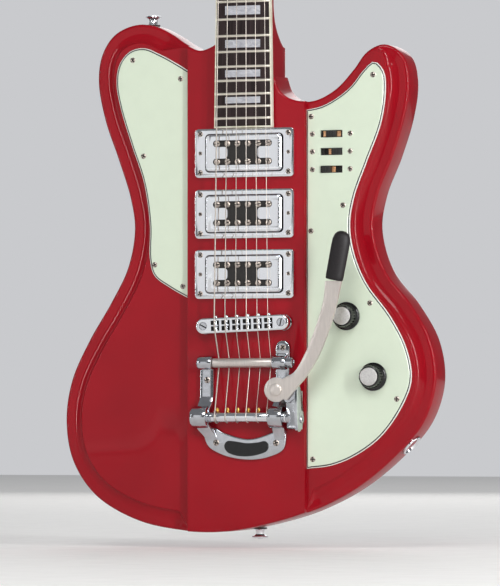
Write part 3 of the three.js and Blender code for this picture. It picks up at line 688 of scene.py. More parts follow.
def stamp(bm, data, place, direction=(0, -1, 0), spin=0.0):
    """Adds a copy of stored mesh data at a place, turned to a direction."""
    part = bmesh.new()
    part.from_mesh(data)
    turn = Vector((0, 0, 1)).rotation_difference(Vector(direction)).to_matrix().to_4x4()
    placed(part, Matrix.Translation(place) @ turn @ Matrix.Rotation(spin, 4, "Z"))
    return merged(bm, part)


def screws(name, places, radius, body=BODY, direction=(0, -1, 0), slotted=False, paint=None, seed=3):
    """One object with a group of like screws, each turned a little differently."""
    chance = random.Random(seed)
    bm = bmesh.new()
    head = cross_head(radius, 1.6, slotted)
    for place in places:
        stamp(bm, head, place, direction, chance.uniform(0, math.pi))
    # The second paint is the painted shade of the recesses.
    return piece(name, bm, (paint or screw_nickel(), recess_dark()), body, "satin_steel", weld=False)


# ------------------------------------------------------------------------------------ body and neck
def inward(points, closed):
    """The direction into the body at each point of its outline."""
    last = len(points) - 1
    result = []
    for i in range(len(points)):
        before = points[i - 1] if closed or i else points[0]
        after = points[(i + 1) % len(points)] if closed or i < last else points[last]
        along = (after - before).normalized()
        result.append(Vector((-along.y, along.x)))
    return result


def ease(value):
    value = min(max(value, 0.0), 1.0)
    return value * value * (3.0 - 2.0 * value)


def body_shell(chain, levels, closed):
    """Skins the body's section, a list of (inset, level) functions of how deep the cove is at each point."""
    side = inward([p for p, _ in chain], closed)
    loops = []
    for inset, level in levels:
        loops.append([(p.x + n.x * inset(s), level(s), p.y + n.y * inset(s)) for (p, s), n in zip(chain, side)])
    return loft(loops)


def back_levels(radius):
    """The rounded back edge and the side wall."""
    turns = [math.radians(15 * k) for k in range(7)]
    return [(lambda s, t=t: radius * (1 - math.sin(t)), lambda s, t=t: BODY_BACK - radius * (1 - math.cos(t)))
            for t in turns]


def edge_levels(radius, front):
    """The small round between the side wall and the front."""
    turns = [math.radians(18 * k) for k in range(6)]
    return [(lambda s, t=t: radius * (1 - math.cos(t)), lambda s, t=t: front(s) + radius * (1 - math.sin(t)))
            for t in turns]


def wing_levels(sizes):
    """The wing's whole section, from its back to its flat top."""
    rim_width, cove_width = sizes.rim_width / MM, sizes.cove_width / MM
    small = 2.4
    front = lambda s: PLATEAU + (RIM - PLATEAU) * s
    inner = lambda s: small + (rim_width - small) * s + 0.01
    levels = back_levels(sizes.back_round / MM) + edge_levels(small, front)
    levels.append((lambda s: small + 0.35 * (inner(s) - small), front))
    levels.append((lambda s: inner(s) - 0.5 * s, front))
    for k in range(1, 11):
        t = k / 10.0
        lift = 0.75 * (1 - math.sqrt(1 - (0.98 * t) ** 2)) / (1 - math.sqrt(1 - 0.98**2)) + 0.25 * t
        levels.append((lambda s, t=t: inner(s) + cove_width * s * t + 0.02 * t,
                       lambda s, f=lift: front(s) + (PLATEAU - front(s)) * f * COVE_SHARE))
    for k in range(1, 6):
        t = math.radians(18 * k)
        levels.append((lambda s, t=t: inner(s) + cove_width * s + 0.9 * s * (1 - math.cos(t)) + 0.02 + 0.01 * t,
                       lambda s, t=t: front(s) + (PLATEAU - front(s)) * (COVE_SHARE + (1 - COVE_SHARE) * math.sin(t))))
    levels.append((lambda s: inner(s) + (cove_width + 0.9) * s + 0.5, lambda s: PLATEAU - 0.02))
    return levels


def cove_depth(points, side):
    """How much of the cove there is at each point: it runs out beside the centre block, and the treble
    horn's inner side has none."""
    depths = []
    tip = min(range(len(points)), key=lambda i: (points[i] - Vector((143, -398))).length)
    start = min(range(len(points)), key=lambda i: (points[i] - Vector((113, -394))).length)
    for i, p in enumerate(points):
        if p.y < -600:
            depth = ease((abs(p.x) - 54.0) / 15.0)
        elif side < 0:
            depth = ease((abs(p.x) - 55.0) / 22.0) if p.y > -400 else 1.0
        else:
            depth = ease((start - i) / max(start - tip, 1))
        depths.append(depth)
    return depths


def sliced(bm, x, keep):
    """Cuts the mesh at a plane across x, keeps one side and closes it."""
    bmesh.ops.bisect_plane(bm, geom=bm.verts[:] + bm.edges[:] + bm.faces[:], dist=1e-4, plane_co=(x, 0, 0),
                           plane_no=(keep, 0, 0), clear_inner=True)
    rim = [e for e in bm.edges if e.is_boundary]
    bmesh.ops.holes_fill(bm, edges=rim, sides=0)
    return bm


class GUITAR_OT_body(bpy.types.Operator):
    """Builds the centre block and the two wings with their rims and coves"""

    bl_idname = "guitar.body"
    bl_label = "Body"

    def execute(self, context):
        sizes = context.scene.guitar_sizes
        paint = lacquer()
        outline = smooth(BODY_OUTLINE, 430)
        for side, name in ((-1, "bass"), (1, "treble")):
            points = [p for p in outline if side * p.x > 38]
            chain = list(zip(points, cove_depth(points, side)))
            bm = body_shell(chain, wing_levels(sizes), False)
            sliced(bm, side * (BLOCK_HALF - 0.1), side)
            if side > 0:
                bm = carved(bm, *[block(64.5, 93.1, 4, 13, z - 5, z + 5) for z, _ in SWITCH_ROWS])
            piece(f"wing_{name}", bm, paint, slot="red_lacquer", nodes=(f"body_{name}_wing",), sharp=19)
        levels = back_levels(sizes.back_round / MM) + edge_levels(2.0, lambda s: 0.0)
        bm = body_shell([(p, 0.0) for p in outline], levels, True)
        for side in (-1, 1):
            sliced(bm, side * BLOCK_HALF, -side)
        rails = [e for e in bm.edges if all(abs(abs(v.co.x) - BLOCK_HALF) < 0.01 and v.co.y < 2.5 for v in e.verts)]
        bmesh.ops.bevel(bm, geom=rails, offset=1.1, segments=3, profile=0.5, affect="EDGES", material=-1,
                        clamp_overlap=True)
        piece("centre_block", bm, paint, slot="red_lacquer", nodes=("body_center_block",), sharp=28)
        return {"FINISHED"}


class GUITAR_OT_plates(bpy.types.Operator):
    """Builds the two three-ply scratchplates, bevelled so that the plies show, and their screws"""

    bl_idname = "guitar.plates"
    bl_label = "Scratchplates"

    def execute(self, context):
        mint = pvc("pvc_mint_top_ply", context.scene.guitar_finish.guard, 0.3)
        black = pvc("pvc_black_middle_ply", linear("040404"), 0.5)
        white = pvc("pvc_white_base_ply", linear("EEF0EA"), 0.35)
        steps = ((0.0, 0.5, 2), (0.1, 0.4, 2), (0.65, 0.3, 2), (1.0, 0.5, 1), (0.45, 0.4, 0))
        for name, corners in (("bass", BASS_GUARD), ("treble", TREBLE_GUARD)):
            edge = smooth(corners, 110)
            if name == "treble":
                edge.reverse()
            bm = prism(edge, PLATEAU - 0.05, steps, even=False)
            if name == "treble":
                cutters = [block(78.8 - 10.3, 78.8 + 10.3, 0, 9, z - 3.2, z + 3.2) for z, _ in SWITCH_ROWS]
                bm = carved(bm, *cutters)
            piece(f"scratchplate_{name}", bm, (mint, black, white), slot="mint_guard",
                  nodes=(f"pickguard_{name}",), sharp=20)
        top = PLATEAU - 2.3
        screws("scratchplate_screws", [(x, top - 0.1, z) for x, z in GUARD_SCREWS], 2.5)
        return {"FINISHED"}


def board_half(z):
    return BOARD_HALF_NUT + (BOARD_HALF_END - BOARD_HALF_NUT) * (-z / BOARD_LENGTH)


def arch(x):
    return BOARD_TOP + BOARD_RADIUS - math.sqrt(BOARD_RADIUS**2 - x * x)


def neck_section(z, half, back, power):
    """The neck's D-shaped section, flat where the board sits."""
    turns = [math.pi * k / 28 for k in range(29)]
    return [(half * math.copysign(abs(math.cos(t)) ** power, math.cos(t)),
             NECK_TOP + (back - NECK_TOP) * math.sin(t) ** power, z) for t in turns]


class GUITAR_OT_neck(bpy.types.Operator):
    """Builds the neck with its scooped heel, the tilted headstock and the truss rod cover"""

    bl_idname = "guitar.neck"
    bl_label = "Neck"

    def execute(self, context):
        paint = lacquer()
        loops = []
        for z, back in ((4.9, 11.2), (-40, 11.6), (-110, 12.4), (-200, 13.4), (-290, 14.3), (-338, 14.8)):
            loops.append(neck_section(z, board_half(z), back, 0.78))
        for k in range(1, 10):
            turn = math.radians(10 * k)
            z = -346 - 42 * math.sin(turn)
            share = ease(k / 7.0)
            half = board_half(-346) + (26.4 - board_half(-346)) * share
            loops.append(neck_section(z, half, max(15.0, 41 - 28 * math.cos(turn)), 0.78 - 0.5 * share))
        loops.append(neck_section(-420, 26.4, 41, 0.28))
        bm = loft(loops)
        half = ((20.8, -4), (20.9, 2), (24, 14), (33.5, 30), (37, 48), (37.5, 100), (40, 140), (41.5, 162))
        right = smooth(half, 40)
        crest = arc(0, 68, 110, 90 - 21.2, 90 + 21.2, 16)[1:-1]
        head = prism(right + crest + [Vector((-p.x, p.y)) for p in reversed(right)], 14.5, ((0, 14.5, 0),))
        hard = [e for e in head.edges if e.is_manifold and e.calc_face_angle() > 0.8
                and abs(e.verts[0].co.y - e.verts[1].co.y) < 0.1]
        bmesh.ops.bevel(head, geom=hard, offset=1.6, segments=3, profile=0.5, affect="EDGES", material=-1)
        volute = bmesh.new()
        bmesh.ops.create_uvsphere(volute, u_segments=32, v_segments=16, radius=1.0)
        placed(volute, HEAD_FRAME @ Matrix.Translation((0, 7.5, 3)) @ Matrix.Diagonal((20.5, 8.8, 20, 1)))
        merged(bm, placed(head, HEAD_FRAME))
        merged(bm, volute)
        piece("neck_and_headstock", bm, paint, slot="red_lacquer", nodes=("neck",), sharp=30)
        outline = smooth(((-7, 3), (-8.5, 12), (-7, 22), (-4, 31), (0, 34), (4, 31), (7, 22), (8.5, 12), (7, 3)), 40)
        cover = placed(prism(outline, -0.2, ((0, 1.3, 0), (0.4, 0.4, 0))), HEAD_FRAME)
        piece("rod_cover", cover, black_plastic(), slot="black_plastic", nodes=("truss_rod_cover",))
        spots = [HEAD_FRAME @ Vector((x, -1.9, z)) for x, z in ((0, 30), (-4.5, 6), (4.5, 6))]
        screws("rod_cover_screws", spots, 1.2, direction=HEAD_FRAME.to_3x3() @ Vector((0, -1, 0)))
        return {"FINISHED"}


def fret_z(number, sizes):
    return -sizes.scale_length / MM * (1 - 2 ** (-number / 12))


class GUITAR_OT_fingerboard(bpy.types.Operator):
    """Builds the arched board with its binding, frets, pearl blocks and the nut"""

    bl_idname = "guitar.fingerboard"
    bl_label = "Fingerboard"

    def execute(self, context):
        sizes = context.scene.guitar_sizes
        binding = sizes.binding / MM
        loops = []
        for z in (-0.2, -BOARD_LENGTH + binding):
            half = board_half(z) - binding
            top = [(half * (1 - k / 8), arch(half * (1 - k / 8)), z) for k in range(17)]
            loops.append(top + [(-half, BOARD_BACK + 0.25, z), (half, BOARD_BACK + 0.25, z)])
        piece("fingerboard_rosewood", loft(loops), rosewood(), slot="rosewood", nodes=("fingerboard",))
        self.bind(sizes, binding)
        self.frets(sizes, binding)
        bm = bmesh.new()
        for number in (3, 5, 7, 9, 12, 15, 17, 19, 21):
            low, high = fret_z(number, sizes), fret_z(number - 1, sizes)
            middle, reach = (low + high) / 2, (high - low) * 0.25
            loops = []
            for k in range(13):
                x = -16.5 + 33.0 * k / 12
                loops.append([(x, arch(x) - 0.04, middle - reach), (x, arch(x) - 0.04, middle + reach),
                              (x, arch(x) + 1.0, middle + reach), (x, arch(x) + 1.0, middle - reach)])
            merged(bm, loft(loops))
        piece("fingerboard_pearl_blocks", bm, pearl())
        nut = block(-20.8, 20.8, -9.9, NECK_TOP - 0.05, 0.05, 5.0, 0.5, segments=2)
        cutters = [block(x - 0.4, x + 0.4, -11, -9.2, -1, 6) for x in ((3.5 - n) * 7.1 for n in range(1, 7))]
        piece("nut_bone", carved(nut, *cutters), cream_binding(), slot="nut_bone", nodes=("nut",))
        return {"FINISHED"}

    def bind(self, sizes, binding):
        bm = bmesh.new()
        for side in (-1, 1):
            loops = []
            for z in (-0.2, -BOARD_LENGTH):
                outer, inner = board_half(z), board_half(z) - binding
                loops.append([(side * inner, arch(inner) - 0.02, z), (side * (outer - 0.25), arch(outer) - 0.02, z),
                              (side * outer, arch(outer) + 0.3, z), (side * outer, BOARD_BACK + 0.25, z),
                              (side * inner, BOARD_BACK + 0.25, z)])
            merged(bm, loft(loops))
            for number in range(1, sizes.frets + 1):
                z = fret_z(number, sizes)
                half = board_half(z)
                x0, x1 = sorted((side * (half - binding), side * (half - 0.1)))
                block(x0, x1, arch(half) - 0.6, arch(half) + 0.5, z - 1.0, z + 1.0, 0.25, bm)
        loops = []
        for k in range(17):
            x = BOARD_HALF_END * (k / 8 - 1) * 0.999
            loops.append([(x, arch(x) - 0.02, -BOARD_LENGTH + binding), (x, arch(x) - 0.02, -BOARD_LENGTH + 0.2),
                          (x, arch(x) + 0.3, -BOARD_LENGTH), (x, BOARD_BACK + 0.25, -BOARD_LENGTH),
                          (x, BOARD_BACK + 0.25, -BOARD_LENGTH + binding)])
        merged(bm, loft(loops))
        piece("fingerboard_binding", bm, cream_binding())

    def frets(self, sizes, binding):
        bm = bmesh.new()
        width, height = sizes.fret_width / MM / 2, sizes.fret_height / MM
        for number in range(1, sizes.frets + 1):
            z = fret_z(number, sizes)
            half = board_half(z) - binding
            loops = []
            for k in range(15):
                share = k / 7 - 1
                x = half * share
                tall = height * (0.35 if abs(share) == 1 else 1.0)
                loops.append([(x, arch(x) + 0.3 - (tall + 0.3) * math.sin(t),
                               z + width * math.cos(t)) for t in (math.pi * j / 8 for j in range(9))])
            merged(bm, loft(loops))
        piece("frets", bm, nickel_fret())


# ------------------------------------------------------------------------------------ pickups
def window_shape(z):
    """The cover's window: a row of six poles above and below, joined by a broad middle."""
    reach, row, half, middle, soft = 27.8, 8.1, 2.95, 14.2, 3.0
    quarter = (arc(reach - half, row, half, 90, -90, 10)
               + arc(middle + soft, row - half - soft, soft, 90, 180, 6))
    right = quarter + [Vector((p.x, -p.y)) for p in reversed(quarter)]
    left = [Vector((-p.x, p.y)) for p in reversed(right)]
    return [Vector((p.x, p.y + z)) for p in right + left]


class GUITAR_OT_pickups(bpy.types.Operator):
    """Builds the three pickups: ring, cover with its window, pole screws and fixing screws"""

    bl_idname = "guitar.pickups"
    bl_label = "Pickups"

    def execute(self, context):
        plate, dull = chrome(), matt_black()
        for name, z in PICKUPS.items():
            ring = prism(rounded(93, 43.4, 3.4, 0, z), -0.1, ((0, 3.75, 0), (0.12, 0.25, 0), (0.33, 0.1, 0)))
            opening = prism(rounded(74.0, 34.4, 4.2, 0, z), 3.0, ((0, 12, 0),))
            piece(f"pickup_{name}_ring", carved(ring, opening), plate, slot="chrome",
                  nodes=(f"pickup_ring_{name}",), sharp=30)
            # A matt black sheet under the cover: painted shade that darkens the gap between cover and ring.
            gap_shade = prism(rounded(73.8, 34.2, 4.1, 0, z), -0.1, ((0, 1.6, 0),))
            piece(f"pickup_{name}_base", gap_shade, dull, slot="black_plastic")
            levels = ((72.6, 33.0, 4.0), (72.6, 33.0, -3.2), (70.2, 32.4, -7.6), (69.6, 32.2, -8.25),
                      (68.9, 31.7, -8.55), (68.0, 31.0, -8.65))
            cover = loft([[(p.x, y, p.y) for p in rounded(wide, high, 3.6, 0, z)] for wide, high, y in levels])
            window = prism(window_shape(z), -5.0, ((0, 6.0, 0),))
            piece(f"pickup_{name}_cover", carved(cover, window), plate, slot="chrome",
                  nodes=(f"pickup_cover_{name}",), sharp=34)
            poles = [(x * 9.67, -8.75, z + row) for row in (-8.1, 8.1) for x in (-2.5, -1.5, -0.5, 0.5, 1.5, 2.5)]
            screws(f"pickup_{name}_poles", poles, 2.75, slotted=True, seed=7)
            corners = [(x, -4.3, z + dz) for x in (-41.5, 41.5) for dz in (-17.2, 17.2)]
            screws(f"pickup_{name}_ring_screws", corners, 2.6, seed=5)
            screws(f"pickup_{name}_height_screws", [(x, -4.2, z) for x in (-41.5, 41.5)], 1.9, seed=6)
            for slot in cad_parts[f"pickup_coils_{name}"].material_slots:
                slot.material = dull
        return {"FINISHED"}


# ------------------------------------------------------------------------------------ bridge
class GUITAR_OT_bridge(bpy.types.Operator):
    """Builds the bridge: body, saddles with their screws, posts and thumbwheels"""

    bl_idname = "guitar.bridge"
    bl_label = "Bridge"

    def execute(self, context):
        plate, dull = chrome(), cast_chrome()
        turn = Matrix.Translation((0, 0, BRIDGE_Z)) @ Matrix.Rotation(-BRIDGE_SLANT, 4, "Y")
        body = prism(rounded(87, 13.8, 6.8, steps=10), -4.9, ((0, 4.9, 0), (0.25, 0.55, 0), (0.35, 0.3, 0), (0.5, 0.15, 0)))
        cutters = [block(x * 10.05 - 3.9, x * 10.05 + 3.9, -20, -6.2, -4.7, 4.5) for x in self.places()]
        cutters += [lathe([(0, 0), (3.75, 0), (3.75, 4), (0, 4)], (x, -8.6, 0), (0, -1, 0)) for x in (-36.6, 36.6)]
        piece("bridge_rail", placed(carved(body, *cutters), turn), plate, slot="chrome", nodes=("bridge_body",), sharp=30)
        bm, cavity_shade = bmesh.new(), bmesh.new()
        for x in self.places():
            middle = x * 10.05
            side = ((-1.7, -6.3), (1.7, -6.3), (1.6, -8.8), (0.55, -12.1), (-0.55, -12.1), (-1.6, -9.6))
            loops = [[(middle + dx, y, z) for z, y in side] for dx in (-3.6, -1.2, 1.2, 3.6)]
            merged(bm, loft(loops))
            # A dark sheet at the back of each saddle's cavity: painted shade where the hollow lies in shadow.
            merged(cavity_shade, block(middle - 3.85, middle + 3.85, -6.9, -6.25, -4.65, 4.45))
            lathe([(0, 0), (1.25, 0), (1.25, 12.5), (0, 12.5)], (middle, -8.3, -4.6), (0, 0, 1), 14, bm)
            lathe([(0, 0), (1.95, 0), (1.95, 1.2), (1.5, 1.9), (0, 2.1)], (middle, -8.3, 6.8), (0, 0, 1), 18, bm)
        piece("bridge_saddles", placed(bm, turn), plate, slot="chrome", sharp=35)
        piece("bridge_cavities", placed(cavity_shade, turn), recess_dark(), slot="chrome")
        for side, name in ((-1, "bass"), (1, "treble")):
            stud = lathe([(0, 0), (3.6, 0), (3.6, 2.0), (3.3, 2.4), (0, 2.4)], (0, 0, 0), (0, 0, 1), 28)
            stud = carved(stud, block(-4, 4, -0.55, 0.55, 1.2, 4))
            # The slot's faces take the second material: painted shade in the hollow.
            for face in stud.faces:
                spot = face.calc_center_median()
                face.material_index = int(abs(spot.y) < 0.56 and abs(spot.x) < 3.5 and spot.z > 1.1)
            placed(stud, Matrix.Translation((side * 36.6, -8.5, 0)) @ Matrix.Rotation(math.pi / 2, 4, "X")
                   @ Matrix.Rotation(0.9 * side + 0.4, 4, "Z"))
            bm = merged(bmesh.new(), stud)
            rows = [(0, 0), (2.6, 0), (2.6, 19), (7.0, 19.2), (7.3, 19.6), (7.0, 20.1), (7.3, 20.6), (7.0, 21.1),
                    (7.3, 21.5), (7.0, 21.9), (4.2, 22.1), (4.2, 24.0), (0, 24.0)]
            lathe(rows, (side * 36.6, 17.7, 0), (0, -1, 0), 40, bm)
            piece(f"bridge_stud_{name}", placed(bm, turn), (dull, recess_dark()), slot="chrome", nodes=(f"bridge_post_{name}",))
        return {"FINISHED"}

    @staticmethod
    def places():
        return (-2.5, -1.5, -0.5, 0.5, 1.5, 2.5)


# ------------------------------------------------------------------------------------ vibrato
def barrel(x0, x1, y, z, radius, bm, edge=0.8, dome=0.0, steps=36):
    """A turned boss along x, with softened rims and perhaps a domed left end."""
    long = x1 - x0
    rows = [(0, -dome)] if dome else [(0, 0)]
    rows += [(radius * 0.55, -dome * 0.75), (radius * 0.86, -dome * 0.3)] if dome else []
    rows += [(radius - edge, 0), (radius - edge * 0.3, edge * 0.3), (radius, edge), (radius, long - edge),
             (radius - edge * 0.3, long - edge * 0.3), (radius - edge, long), (0, long)]
    return lathe(rows, (x0, y, z), (1, 0, 0), steps, bm)


def strap(stations, bm, thick=2.6):
    """A cast strip with soft edges through stations of (x middle, half width, front y, z)."""
    loops = []
    for i, (x, half, y, z) in enumerate(stations):
        low, high = stations[max(i - 1, 0)], stations[min(i + 1, len(stations) - 1)]
        along = Vector((high[0] - low[0], high[2] - low[2], high[3] - low[3])).normalized()
        out = along.cross(Vector((1, 0, 0))).normalized()
        if out.y > 0:
            out = -out
        corners = []
        for dx, dn in ((-half, -thick), (-half, -0.7), (-half + 0.25, -0.2), (-half + 0.8, 0), (half - 0.8, 0),
                       (half - 0.25, -0.2), (half, -0.7), (half, -thick)):
            corners.append(Vector((x + dx, y, z)) + out * dn)
        loops.append(corners)
    return merged(bm, loft(loops))


class GUITAR_OT_vibrato_base(bpy.types.Operator):
    """Builds the vibrato's cast frame with its plain badge, the tension roller and the fixing screws"""

    bl_idname = "guitar.vibrato_base"
    bl_label = "Vibrato frame"

    def execute(self, context):
        cast = cast_chrome()
        outer = smooth(((-39.2, -728), (-37.5, -737), (-33.5, -743.8), (-18, -751.5), (2.8, -754.8), (21, -752.8),
                        (36.2, -745.8), (38.6, -738), (38.6, -729)), 48)
        inner = smooth(((38.6, -729), (31, -728.4), (26.3, -730.4), (4.4, -736.3), (-20, -730.6), (-28, -726.5),
                        (-39.2, -728)), 36)
        bm = prism(outer + inner[1:-1], -0.25, ((0, 2.4, 0), (0.25, 0.5, 0), (0.45, 0.3, 0), (0.7, 0.15, 0)))
        strap(((-35.5, 6.2, -3.6, -667), (-35.5, 6.2, -3.8, -676), (-35.5, 6.3, -3.9, -686), (-35.6, 6.3, -3.9, -697),
               (-36, 6.3, -4.6, -702), (-36.6, 6.4, -7.5, -706.5), (-37.2, 6.6, -11.5, -710)), bm, 3.6)
        strap(((35.5, 6.2, -4.4, -664), (35.5, 6.2, -3.6, -676), (35.5, 6.2, -3.4, -697), (34, 6.2, -4.4, -703),
               (33.2, 6.2, -8, -709)), bm, 3.2)
        strap(((-38, 6.5, -13.5, -722), (-36, 6.4, -8.2, -728.5), (-33, 6.0, -4.8, -733), (-30, 5, -3.7, -738)), bm, 3.0)
        strap(((33, 6.0, -13.5, -722), (33.4, 5.6, -8.2, -728), (33.4, 5.0, -4.8, -732), (32.6, 4.5, -3.7, -737)), bm, 3.0)
        for x0, x1 in ((-29.5, -26.5), (28.2, 31.2)):
            strap((((x0 + x1) / 2 - 1.2, 1.5, -7.4, -727.5), ((x0 + x1) / 2 - 0.4, 1.5, -5.0, -732),
                   ((x0 + x1) / 2, 1.3, -3.9, -737)), bm, 2.2)
        barrel(-46.2, -31.7, SHAFT_Y, SHAFT_Z, 9.8, bm, 1.1, 2.2)
        barrel(26.1, 39.4, SHAFT_Y, SHAFT_Z, 9.8, bm, 1.1)
        barrel(-41.8, -28.6, ROLLER_Y, ROLLER_Z, 6.3, bm, 1.4, 1.0)
        barrel(28.2, 41, ROLLER_Y, ROLLER_Z, 6.3, bm, 1.0)
        lathe([(0, 0), (5.0, 0), (5.0, 5.2), (4.5, 5.8), (2.9, 5.8), (2.7, 4.6), (0, 4.6)],
              (41.2, ROLLER_Y, ROLLER_Z), (1, 0, 0), 32, bm)
        lathe([(0, 0), (1.1, 0), (1.3, 1.0), (0.9, 2.2), (0, 2.4)], (45.9, ROLLER_Y, ROLLER_Z), (1, 0, 0), 16, bm)
        lathe([(0, 0), (1.2, 0), (1.1, 1.2), (0.7, 1.8), (0, 2.0)], (-42.6, ROLLER_Y, ROLLER_Z), (-1, 0, 0), 16, bm)
        tab = prism([Vector((29.2, -664))] + [Vector((42.2, -664))] + arc(35.7, -655.9, 6.5, 0, 180, 16), -0.25,
                    ((0, 2.5, 0), (0.25, 0.45, 0), (0.5, 0.25, 0)))
        merged(bm, tab)
        block(30, 41.4, -5.2, -1, -664.6, -660.8, 0.8, bm)
        piece("vibrato_casting", bm, cast, slot="chrome", nodes=("vibrato_base",), sharp=35)
        badge = smooth(((-19, -742.5), (-16.5, -738.4), (-10, -738.3), (2, -740), (13, -739.3), (19.5, -738.2),
                        (22.8, -741.5), (21.5, -746.6), (13, -750.2), (2, -751.8), (-9, -750.8), (-16.5, -747.6)),
                       72, True)
        badge.reverse()
        piece("vibrato_badge", prism(badge, -3.5, ((0, 0.35, 0), (0.2, 0.15, 0))), black_plastic(), slot="black_plastic")
        screws("vibrato_screws", ((36, -3.5, -655.6), (-34.9, -4.3, -684), (-26.6, -4.0, -739.6), (29.8, -4.0, -739.8)), 2.9)
        roller = lathe([(0, 0), (4.0, 0), (4.1, 0.2), (4.1, 55.8), (4.0, 56), (0, 56)],
                       (-28.0, ROLLER_Y, ROLLER_Z), (1, 0, 0), 36)
        piece("tension_roller_bar", roller, satin_steel(), "tension_roller", "satin_steel", ("vibrato_tension_bar",))
        return {"FINISHED"}


def rise(x, z):
    """How far the arm stands out as it leaves its pivot."""
    return 8.0 * ease((math.hypot(x - PIVOT_X, z - PIVOT_Z) - 14.0) / 96.0)


